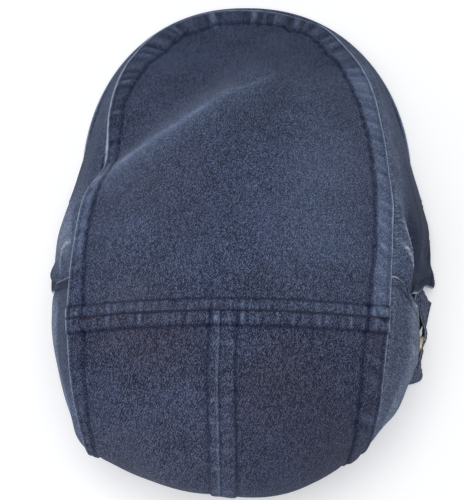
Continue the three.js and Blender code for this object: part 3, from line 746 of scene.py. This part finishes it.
def from_seam(s, columns, side):
    """The places down a side, drawn up to where its seam really lies."""
    missing = 1 - seam_place(s, side)
    return columns - np.sign(columns) * missing * fade(np.abs(columns), 1, 1.35)


def front_side_grid(side):
    columns = side_columns(side)[None, :]
    share = section_rows(0, FRONT_END, SIDES[side] * 1.4, ROW_STEP, (-0.01, -LAP_STITCH)) / FRONT_END
    end = front_end(np.abs(columns), side)
    s = set_back(share[:, None] * end, side_start(np.abs(columns), side), end)
    return s, from_seam(s, columns, side)


def rear_side_grid(side):
    columns = side_columns(side)[None, :]
    share = (section_rows(LAP, LAST, SIDES[side] * 1.3, ROW_STEP, (0, LAP_STITCH)) - LAP) / (LAST - LAP)
    start = rear_edge(np.abs(columns), side)
    s = start + share[:, None] * (LAST - start)
    return s, from_seam(s, columns, side)


# Cloth panels
made = {}
seam_sides = ("first", "last", "first_row")
made["top_cloth"] = cloth_panel("top_cloth", *top_grid(), top_relief, seam_sides, top_lift)
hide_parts("top_panel")

for side in SIDES:
    outer = "first" if side == "right" else "last"
    name = f"back_cloth_{side}"
    made[name] = cloth_panel(name, *back_grid(side), back_relief, ("last_row", outer))
    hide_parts(f"back_panel_{side}")

    name = f"front_side_cloth_{side}"
    grid = front_side_grid(side)
    made[name] = cloth_panel(name, *grid, front_side_relief, ("last_row", outer), front_lift)
    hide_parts(f"front_side_panel_{side}")

    name = f"rear_side_cloth_{side}"
    grid = rear_side_grid(side)
    made[name] = cloth_panel(name, *grid, rear_side_relief, ("first_row", "last_row", outer), rear_lift)
    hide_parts(f"rear_side_panel_{side}")


# Peak
def arch(angle, half, depth, power, rise):
    """A line across the peak, from one corner round the front to the other."""
    sine, cosine = np.sin(angle), np.maximum(0, np.cos(angle))
    return np.stack([
        half * np.sign(sine) * np.abs(sine) ** power,
        PEAK.centre - depth * cosine ** power,
        PEAK.corner_top + rise * cosine ** 2,
    ], axis=-1)[:, None]


def peak_cover():
    angle = np.radians(np.linspace(-PEAK.sweep, PEAK.sweep, 150))
    share = np.concatenate([[0, 0.006, 0.015, 0.03], np.linspace(0.05, 1, 26)])[None, :, None]
    edge = arch(angle, PEAK.half, PEAK.length, 2 / PEAK.roundness, PEAK.tip_rise)
    brow = arch(angle, PEAK.brow_half, PEAK.brow_depth, 1, PEAK.brow_rise)
    top = edge + (brow - edge) * share
    bottom = top - np.array([0, 0, PEAK.thickness])
    d, _ = near(top, top[:, 0])
    turn = turned_in(d, 1.45)
    top[..., 2] -= turn
    bottom[..., 2] += turn + 0.35 * bell(d - 6.5, 0.7)
    return shell("peak_cover", top, bottom, {"wear_and_highlight": 0.9 * bell(d, 1.2), "dark": 0 * d}, top[..., :2] / 100)


peak = peak_cover()
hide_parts("peak")
made["peak_cover"] = peak

# Strap, tab and ring. A run is a distance in sections round the rear rim from the right lap.
STRAP = SimpleNamespace(low=2.5, high=16.4, lean=2.8, thickness=1.3, stand=1.25, tab_end=0.12, tail_end=2.9,
                        bow=5.2, bow_end=2.85)
RING = SimpleNamespace(wire=1.4, length=6.8, run=1.75, stand=3.6, turn=2.15, turn_end=1.9)
BAND_HEIGHT = STRAP.high - STRAP.low
BAND_STITCH = 1.75  # from a band's edge to its topstitch
HEAD_CENTRE_Y = 20
SIDE_RUN = LAST - LAP
BACK_RUN = 7
WHOLE_RUN = 2 * SIDE_RUN + BACK_RUN


def rim_point(run):
    left = WHOLE_RUN - run
    if run < SIDE_RUN:
        return crown(LAP + run, -2)
    if left < SIDE_RUN:
        return crown(LAP + left, 2)
    return crown(LAST, -1 + 2 * (run - SIDE_RUN) / BACK_RUN)


def beside_rim(run, stand):
    """A point of the strap's middle line outside the rim, with its sideways lean instead of a height."""
    along = rim_point(run + 0.05) - rim_point(run - 0.05)
    out = np.array([along[1], -along[0]]) / math.hypot(along[0], along[1])
    here = rim_point(run)
    if out[0] * here[0] + out[1] * (here[1] - HEAD_CENTRE_Y) < 0:
        out = -out
    flare = flare_at(run)
    place = here[:2] + (stand - tuck_at(LAP + min(run, WHOLE_RUN - run)) + flare) * out
    return np.array([*place, flare + STRAP.lean * fade(run, 0.5, 1.45)])


def turn_round(centre, ahead, count=14):
    """The half turn of a band round one bar of the ring."""
    out = np.array([ahead[1], -ahead[0]])
    if out[0] > 0:
        out = -out
    angle = np.linspace(0, math.pi, count)[:, None]
    place = centre - out * RING.turn * np.cos(angle) + ahead * RING.turn_end * np.sin(angle)
    return np.concatenate([place, np.zeros((count, 1))], axis=1)


ring_centre = beside_rim(RING.run, RING.stand)[:2]
ring_ahead = (beside_rim(RING.run + 0.2, RING.stand) - beside_rim(RING.run - 0.2, RING.stand))[:2]
ring_ahead /= np.linalg.norm(ring_ahead)


def ring_bar(sign):
    return ring_centre + ring_ahead * sign * (RING.length - RING.wire) / 2


def tab_stand(run):
    """How far out the tab's inner layer lies, from its end below the lap to the ring."""
    near_ring = RING.stand - RING.turn
    return STRAP.stand + (near_ring - STRAP.stand) * ease(run, -0.1, RING.run - 0.3)


def tab_line():
    gap = STRAP.thickness + 0.3
    inner = [beside_rim(run, tab_stand(run)) for run in np.linspace(-0.5, RING.run - 0.3, 34)]
    outer = []
    for run in np.linspace(RING.run - 0.34, STRAP.tab_end, 22):
        layer = gap + (2 * RING.turn - gap) * ease(run, STRAP.tab_end, RING.run - 0.25) ** 5
        outer.append(beside_rim(run, tab_stand(run) + layer))
    return np.concatenate([inner, turn_round(ring_bar(-1), ring_ahead), outer])


def bowed(run, at_ring, behind):
    """A point behind the ring, where the lower edge bows out and the upper edge stays by the crown."""
    share = ease(run, RING.run + 0.3, STRAP.bow_end)
    bow = STRAP.bow * math.sin(math.pi * share ** 0.62)
    point = beside_rim(run, at_ring + (behind - at_ring) * share + bow)
    point[2] += bow
    return point


def strap_line():
    outside, inside = RING.stand + RING.turn, RING.stand - RING.turn
    runs = np.linspace(STRAP.tail_end, RING.run + 0.42, 30)
    tail = [bowed(run, outside, STRAP.stand + STRAP.thickness + 0.4) for run in runs]
    turn = turn_round(ring_bar(1), -ring_ahead)[::-1]
    runs = np.concatenate([np.linspace(RING.run + 0.38, STRAP.bow_end, 30)[:-1],
                           np.linspace(STRAP.bow_end, WHOLE_RUN + 0.35, 190)])
    back = [bowed(run, inside, STRAP.stand) for run in runs]
    return np.concatenate([tail, turn, back])


def ribbon(name, line, node):
    """A sewn band on edge: two cloth layers with rounded edges and a topstitch groove beside each."""
    flat = line * (1, 1, 0)
    even = resample(flat, 0.9)
    at = arc(flat)
    lean = np.interp(arc(even) * at[-1] / arc(even)[-1], at, line[:, 2])
    for _ in range(2):
        even[1:-1] = 0.5 * even[1:-1] + 0.25 * (even[:-2] + even[2:])
    along = unit(np.gradient(even, axis=0))
    out = np.stack([-along[:, 1], along[:, 0], 0 * along[:, 0]], -1)
    v = np.array([0, 0.12, 0.4, 0.8, 1.3, 1.7, 2.1, 2.7, 3.8, 5.4, BAND_HEIGHT / 2])
    v = np.concatenate([v, BAND_HEIGHT - v[-2::-1]])
    inside = np.minimum(v, BAND_HEIGHT - v)
    half = 0.5 * STRAP.thickness * np.sqrt(1 - np.clip(1 - inside / 0.75, 0, 1) ** 2)
    half -= 0.16 * bell(inside - BAND_STITCH, 0.4) + 0.05 * ease(inside, 2, 5)
    wobble = 0.05 * np.sin(arc(even) * 1.9)[:, None] * bell(inside - 1.0, 0.8)[None, :]
    grids = []
    for sign in (1, -1):
        grid = even[:, None, :] + out[:, None, :] * (sign * (half[None, :] + wobble))[..., None]
        grid[..., 2] = STRAP.low + v
        grid[..., 0] += lean[:, None] * (v / BAND_HEIGHT)[None, :]
        grids.append(grid)
    run = np.repeat(arc(even)[:, None], len(v), axis=1)
    end = np.minimum(run, run[-1, 0] - run)
    wear_and_highlight = 0.85 * bell(inside - 0.25, 0.5) + 0.6 * bell(end, 0.6)
    dark = np.broadcast_to(0.8 * bell(inside - BAND_STITCH, 0.5), run.shape)
    uv = np.stack(np.broadcast_arrays(v, run), -1) / 100
    piece = shell(name, *grids, {"wear_and_highlight": wear_and_highlight, "dark": dark}, uv)
    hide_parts(node)
    return piece, even, out, lean


made["strap_band"], *strap_laid = ribbon("strap_band", strap_line(), "strap")
made["tab_band"], *tab_laid = ribbon("tab_band", tab_line(), "strap_tab")


# Stitches
def tree_of(made_object):
    mesh = made_object.data
    vertices = [tuple(v.co * 1000) for v in mesh.vertices]
    return BVHTree.FromPolygons(vertices, [tuple(p.vertices) for p in mesh.polygons])


def snapped(points, trees):
    """The points moved onto the nearest of some pieces, with the surface's outward direction there."""
    places, normals = [], []
    for p in points:
        best = None
        for tree in trees:
            place, normal, _, gap = tree.find_nearest(Vector(p + ORIGIN))
            if best is None or gap < best[2]:
                best = (place, normal, gap)
        places.append(np.array(best[0]) - ORIGIN)
        normals.append(np.array(best[1]))
    return np.array(places), np.array(normals)


def beside(line, offset, surface_normals, sign):
    """A line moved sideways over a surface."""
    along = unit(np.gradient(line, axis=0))
    return line + unit(np.cross(along, surface_normals) * sign) * offset


# One stitch's sections. Columns: place along it, thickness, rise.
STITCH = ((0.0, 0.35, -0.30), (0.12, 0.85, 0.02), (0.35, 1.0, 0.16), (0.65, 1.0, 0.16), (0.88, 0.85, 0.02),
          (1.0, 0.35, -0.30))
AROUND = 6  # corners of each section


class Thread:
    """Collects single stitches into one mesh."""

    def __init__(self):
        self.vertices = []
        self.faces = []

    def stitch(self, a, b, up, radius):
        along = b - a
        length = np.linalg.norm(along)
        along = along / length
        side = np.cross(up, along)
        side /= np.linalg.norm(side) + 1e-9
        up = np.cross(along, side)
        first = len(self.vertices)
        for place, size, rise in STITCH:
            centre = a + along * length * place + up * rise
            for k in range(AROUND):
                angle = 2 * math.pi * k / AROUND
                outward = side * math.cos(angle) + 0.8 * up * math.sin(angle)
                self.vertices.append(centre + radius * size * outward)
        end = first + (len(STITCH) - 1) * AROUND
        for start in range(first, end, AROUND):
            for k in range(AROUND):
                n = (k + 1) % AROUND
                self.faces.append((start + k, start + n, start + AROUND + n, start + AROUND + k))
        self.faces.append(tuple(first + k for k in reversed(range(AROUND))))
        self.faces.append(tuple(end + k for k in range(AROUND)))

    def row(self, points, normals, pitch, radius, seed):
        random = np.random.default_rng(seed)
        u = arc(points)
        at = 0.4
        while at + pitch < u[-1]:
            length = pitch * random.uniform(0.80, 0.9)
            ends = [np.array([np.interp(x, u, points[:, k]) for k in range(3)]) for x in (at, at + length)]
            up = np.array([np.interp(at + 0.5 * length, u, normals[:, k]) for k in range(3)])
            shift = random.normal(0, 0.06, 3)
            self.stitch(ends[0] + shift, ends[1] - shift, up / np.linalg.norm(up), radius)
            at += pitch * random.uniform(0.97, 1.03)

    def build(self, name):
        return mesh_object(name, np.array(self.vertices) + ORIGIN, self.faces)


trees = {name: tree_of(o) for name, o in made.items()}
THREAD, PITCH = 0.34, 3.1  # a stitch's radius and the distance to the next one
BAND_THREAD, BAND_PITCH = 0.26, 2.8
BAND_FACE = 0.36 * STRAP.thickness  # from a band's middle to its stitches
STITCH_STEP = 1.2
BARE = 14  # the length without stitches at a row's end
crown_thread = Thread()


def surface_row(line, offset, sign, owners, seed, trim=(0, 0)):
    """A row of stitches beside a line, on the cloth of its owners and away from its trimmed ends."""
    _, normals = snapped(line, [trees[o] for o in owners])
    moved = resample(beside(line, np.reshape(offset, (-1, 1)), normals, sign), 0.8)
    u = arc(moved)
    keep = (u >= trim[0]) & (u <= u[-1] - trim[1])
    places, normals = snapped(moved[keep], [trees[o] for o in owners])
    crown_thread.row(places, normals, PITCH, THREAD, seed)


tops = ["top_cloth", "back_cloth_right", "back_cloth_left"]
edge = resample(TOP_EDGE, STITCH_STEP)
surface_row(edge, allowance(arc(edge)) + edge_pull(arc(edge)), -1, tops, 1, (BARE, BARE))
cross = resample(CROSS_SEAM, STITCH_STEP)
surface_row(cross, CROSS_STITCH["front"], 1, ["top_cloth"], 2)
surface_row(cross, CROSS_STITCH["rear"], -1, tops[1:], 3)
back = resample(BACK_SEAM, STITCH_STEP)
surface_row(back, BACK_STITCH["left"], -1, ["back_cloth_left"], 4, (1, BARE))
surface_row(back, BACK_STITCH["right"], 1, ["back_cloth_right"], 5, (1, BARE))


def front_side_row(side, s, t, lift, seed):
    line = crown(s, t) + normal_of(crown, s, t) * lift[:, None]
    surface_row(resample(line, STITCH_STEP), 0.0, -SIDES[side], [f"front_side_cloth_{side}"], seed)


for side, sign in SIDES.items():
    surface_row(LAP_LINE[side], LAP_STITCH, -sign, [f"rear_side_cloth_{side}"], 6)
    down = np.linspace(1.62, 1.97, 60)
    hem_s = front_end(down, side) - LAP_STITCH / LAP_SPACING
    front_side_row(side, hem_s, sign * down, cover_lift(hem_s, down), 7)
    rim_s = np.linspace(5.6, front_end(1.9, side) - 0.2, 200)
    rim_t = sign * (2 - HEM_STITCH / (column("seamZ", rim_s) - np.maximum(0, column("rimZ", rim_s))))
    front_side_row(side, rim_s, rim_t, cover_lift(rim_s, rim_t), 8)
crown_stitches = crown_thread.build("crown_stitching")

band_thread = Thread()
for (even, out, lean), seed in ((strap_laid, 20), (tab_laid, 30)):
    for row, height in enumerate((BAND_STITCH, BAND_HEIGHT - BAND_STITCH)):
        for face in (1, -1):
            points = even + out * face * BAND_FACE
            points[:, 2] = STRAP.low + height
            points[:, 0] += lean * height / BAND_HEIGHT
            band_thread.row(points, out * face, BAND_PITCH, BAND_THREAD, seed + 2 * row + face)
band_stitches = band_thread.build("strap_stitching")


# Finishes
class Graph:
    """A material's nodes, and short ways to add to them."""

    def __init__(self, tree):
        self.tree = tree

    def feed(self, node, inputs):
        for key, value in inputs.items():
            if isinstance(value, bpy.types.NodeSocket):
                self.tree.links.new(value, node.inputs[key])
            else:
                node.inputs[key].default_value = value

    def add(self, kind, inputs=None, **settings):
        node = self.tree.nodes.new(kind)
        for key, value in settings.items():
            setattr(node, key, value)
        self.feed(node, inputs or {})
        return node

    def math(self, operation, a, b, clamp=False):
        return self.add("ShaderNodeMath", {0: a, 1: b}, operation=operation, use_clamp=clamp).outputs[0]

    def times(self, a, b, clamp=False):
        return self.math("MULTIPLY", a, b, clamp)

    def total(self, first, *others):
        for value in others:
            first = self.math("ADD", first, value)
        return first

    def noise(self, vector, scale, detail=2.0, roughness=0.5):
        inputs = {"Vector": vector, "Scale": scale, "Detail": detail, "Roughness": roughness}
        return self.add("ShaderNodeTexNoise", inputs).outputs["Fac"]

    def cells(self, vector):
        """A value from 0 to 1 that changes from one small cell to the next, and the distance in the cell."""
        node = self.add("ShaderNodeTexVoronoi", {"Vector": vector, "Scale": 1.0}, voronoi_dimensions="2D")
        split = self.add("ShaderNodeSeparateColor", {0: node.outputs["Color"]})
        return split.outputs[0], node.outputs["Distance"]

    def scaled(self, vector, scale, turn=0.0):
        inputs = {"Vector": vector, "Scale": scale, "Rotation": (0.0, 0.0, turn)}
        return self.add("ShaderNodeMapping", inputs).outputs["Vector"]

    def mix(self, share, a, b):
        inputs = {"Factor": share, "A": a, "B": b}
        return self.add("ShaderNodeMix", inputs, data_type="RGBA").outputs["Result"]

    def spread(self, value, low, high, to_low=0.0, to_high=1.0):
        inputs = {"Value": value, "From Min": low, "From Max": high, "To Min": to_low, "To Max": to_high}
        return self.add("ShaderNodeMapRange", inputs).outputs["Result"]

    def bump(self, strength, distance, height):
        inputs = {"Strength": strength, "Distance": distance, "Height": height}
        return self.add("ShaderNodeBump", inputs).outputs[0]

    def place(self):
        return self.add("ShaderNodeTexCoord").outputs["Object"]


def principled(name):
    """A new material, its graph and its shader."""
    material = bpy.data.materials.new(name)
    material.use_nodes = True
    material.node_tree.nodes.clear()
    g = Graph(material.node_tree)
    shader = g.add("ShaderNodeBsdfPrincipled")
    g.add("ShaderNodeOutputMaterial", {"Surface": shader.outputs[0]})
    return material, g, shader


def srgb(r, g, b):
    def linear(c):
        c /= 255
        return c / 12.92 if c <= 0.04045 else ((c + 0.055) / 1.055) ** 2.4
    return (linear(r), linear(g), linear(b), 1.0)


def denim(name, body, dip, worn_and_lit, sheen=0.1, yarn=(420.0, 190.0), faded=0.95):
    """Washed indigo twill: dark warp, pale weft flecks, uneven fading, painted shade to the front; the masks
    add wear, painted highlights, dark lines and painted shade.
    """
    material, g, shader = principled(name)
    place = g.place()
    cloth = g.add("ShaderNodeUVMap", uv_map="cloth").outputs["UV"]
    wear_and_highlight = g.add("ShaderNodeAttribute", attribute_name="wear_and_highlight").outputs["Fac"]
    dark = g.add("ShaderNodeAttribute", attribute_name="dark").outputs["Fac"]

    twill = g.add("ShaderNodeTexWave", {
        "Vector": g.scaled(cloth, (1.0, 1.0, 1.0), math.radians(28)),
        "Scale": 30.0, "Distortion": 1.2, "Detail": 1.0, "Detail Scale": 2.0,
    }, wave_type="BANDS", bands_direction="X", wave_profile="SIN").outputs["Fac"]
    cell, off_centre = g.cells(g.scaled(cloth, (yarn[0], yarn[1], 1.0), math.radians(8)))
    soft = g.noise(g.scaled(cloth, (0.9 * yarn[0], 1.1 * yarn[1], 1.0)), 1.0, 2.0, 0.65)
    fleck = g.total(g.times(g.math("POWER", cell, 2.6), 0.62), g.times(soft, 0.5))
    slub = g.noise(g.scaled(cloth, (70.0, 12.0, 1.0)), 1.0, 2.0, 0.6)
    patch = g.spread(g.noise(place, 42.0, 3.0, 0.6), 0.3, 0.7, -0.07, 0.07)
    broad = g.spread(g.noise(place, 12.0), 0.3, 0.7, -0.06, 0.06)
    back = g.add("ShaderNodeSeparateXYZ", {0: place}).outputs[1]

    grain = g.total(g.spread(slub, 0.3, 0.7, -0.07, 0.07), 0.42, g.spread(twill, 0.0, 1.0, -0.08, 0.08))
    light = g.times(g.spread(fleck, 0.25, 0.8, -0.36, 0.60), g.spread(back, -0.085, -0.045, 0.5, 1.0))
    # Painted shade: the cloth is painted darker towards the front of the cap.
    painted_shade = g.spread(back, -0.10, -0.02, -0.18, -0.03)
    level = g.math("ADD", g.total(grain, patch, broad, painted_shade), light, clamp=True)
    tinge = g.spread(g.noise(place, 17.0), 0.35, 0.65, 0.2, 1.0)
    tinge = g.times(tinge, g.spread(back, -0.09, 0.05, 0.1, faded))
    colour = g.mix(tinge, g.mix(level, dip, body), g.mix(level, srgb(24, 24, 41), srgb(100, 101, 126)))
    # The wear mask paints real wear and, on the side bulges, the left front side and the ridge, painted
    # highlights in the same pale colours.
    colour = g.mix(g.times(wear_and_highlight, g.spread(fleck, 0.3, 0.72, 0.5, 1.2), clamp=True), colour, worn_and_lit)
    colour = g.mix(g.spread(wear_and_highlight, 0.55, 1.1, 0.0, 0.7), colour, srgb(188, 197, 212))
    # The dark mask paints stitch lines and seams, and also painted shade in folds, hollows and on sides
    # turned from the light.
    colour = g.mix(g.times(dark, 0.72, clamp=True), colour, srgb(15, 25, 52))

    height = g.math("SUBTRACT", g.total(g.times(twill, 0.6), g.times(fleck, 0.7)), g.times(off_centre, 0.4))
    g.feed(shader, {
        "Base Color": colour,
        "Normal": g.bump(0.55, 0.00045, g.total(height, g.times(slub, 0.5))),
        "Roughness": g.spread(fleck, 0.2, 0.8, 0.82, 0.96),
        "Specular IOR Level": 0.18,
        "Sheen Weight": sheen,
        "Sheen Roughness": 0.45,
        "Sheen Tint": (0.62, 0.72, 0.95, 1.0),
    })
    return material


def thread_finish():
    material, g, shader = principled("thread")
    fibre = g.noise(g.place(), 900.0)
    g.feed(shader, {
        "Base Color": g.mix(g.spread(fibre, 0.3, 0.7), srgb(20, 21, 40), srgb(44, 47, 74)),
        "Normal": g.bump(0.4, 0.0002, fibre),
        "Roughness": g.spread(fibre, 0.2, 0.8, 0.6, 0.8),
    })
    return material


def metal_finish():
    material, g, shader = principled("ring_metal")
    place = g.place()
    cloud = g.noise(place, 260.0, 3.0)
    scratch = g.noise(g.scaled(place, (200.0, 200.0, 4000.0)), 1.0)
    g.feed(shader, {
        "Base Color": g.mix(g.spread(cloud, 0.35, 0.65), srgb(176, 163, 134), srgb(222, 212, 188)),
        "Metallic": 0.85,
        "Roughness": g.spread(scratch, 0.3, 0.7, 0.28, 0.46),
        "Normal": g.bump(0.15, 0.0001, scratch),
    })
    return material


crown_denim = denim("crown_denim", srgb(105, 120, 158), srgb(12, 16, 37), srgb(148, 168, 206))
side_denim = denim("side_denim", srgb(104, 126, 170), srgb(11, 18, 43), srgb(168, 182, 207),
                   yarn=(140.0, 300.0), faded=0.45)
strap_denim = denim("strap_denim", srgb(112, 126, 160), srgb(20, 28, 52), srgb(172, 184, 206),
                    sheen=0.15, yarn=(300.0, 190.0), faded=0.4)
thread = thread_finish()
ring_metal = metal_finish()


def finish_of(name):
    if "side" in name:
        return side_denim, "denim_side"
    if "band" in name:
        return strap_denim, "strap"
    return crown_denim, "denim"


for name, piece in made.items():
    material, slot = finish_of(name)
    piece.data.materials.append(material)
    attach(piece, "root")
for piece in (crown_stitches, band_stitches):
    piece.data.materials.append(thread)
    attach(piece, "root")
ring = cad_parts["strap_ring"]
ring.data.materials.clear()
ring.data.materials.append(ring_metal)
soften = ring.modifiers.new("softened", "BEVEL")
soften.width = 0.0004
soften.segments = 2
soften.limit_method = "ANGLE"

# Floor, light and camera
FLOOR = 3000
corners = [(-FLOOR, -FLOOR, 0), (FLOOR, -FLOOR, 0), (FLOOR, FLOOR, 0), (-FLOOR, FLOOR, 0)]
floor = mesh_object("floor", corners, [(0, 1, 2, 3)])
floor_material, graph, shader = principled("floor_white")
graph.feed(shader, {
    "Base Color": (0.9, 0.9, 0.905, 1.0),
    "Roughness": 0.9,
    "Emission Color": (1.0, 1.0, 1.0, 1.0),
    "Emission Strength": 0.3,
})
floor.data.materials.append(floor_material)

world = bpy.data.worlds.new("studio")
bpy.context.scene.world = world
world.use_nodes = True
background = world.node_tree.nodes["Background"]
background.inputs["Color"].default_value = (0.93, 0.96, 1.0, 1.0)
background.inputs["Strength"].default_value = 0.34
LIT = Vector((0, 0, 0.04))


def softbox(name, place, size, power):
    data = bpy.data.lights.new(name, "AREA")
    data.size = size
    data.energy = power
    lamp = bpy.data.objects.new(name, data)
    lamp.location = place
    lamp.rotation_euler = (LIT - lamp.location).to_track_quat("-Z", "Y").to_euler()
    bpy.context.scene.collection.objects.link(lamp)


softbox("top_box", (0.15, 0.3, 1.5), 1.2, 14.0)
softbox("left_box", (1.3, -0.3, 0.8), 0.9, 1.3)

# The camera looks from behind and above. The photo's focal length is given in pixels.
ELEVATION = math.radians(68)
DISTANCE = 0.6
FOCAL_LENGTH = 1286
PHOTO_HEIGHT = 500
SENSOR = 36
TARGET = Vector((0.0073, 0.01735, 0.040)) + Vector((ORIGIN / 1000).tolist())
back_vector = Vector((0, math.cos(ELEVATION), math.sin(ELEVATION)))
camera_data = bpy.data.cameras.new("camera")
camera_data.sensor_width = SENSOR
camera_data.lens = FOCAL_LENGTH / PHOTO_HEIGHT * SENSOR
camera_data.clip_start = 0.05
camera = bpy.data.objects.new("camera", camera_data)
bpy.context.scene.collection.objects.link(camera)
camera.matrix_world = Matrix((
    (-1, 0, back_vector.x, TARGET.x + DISTANCE * back_vector.x),
    (0, -math.sin(ELEVATION), back_vector.y, TARGET.y + DISTANCE * back_vector.y),
    (0, math.cos(ELEVATION), back_vector.z, TARGET.z + DISTANCE * back_vector.z),
    (0, 0, 0, 1),
))
bpy.context.scene.camera = camera
bpy.context.scene.view_settings.view_transform = "Standard"
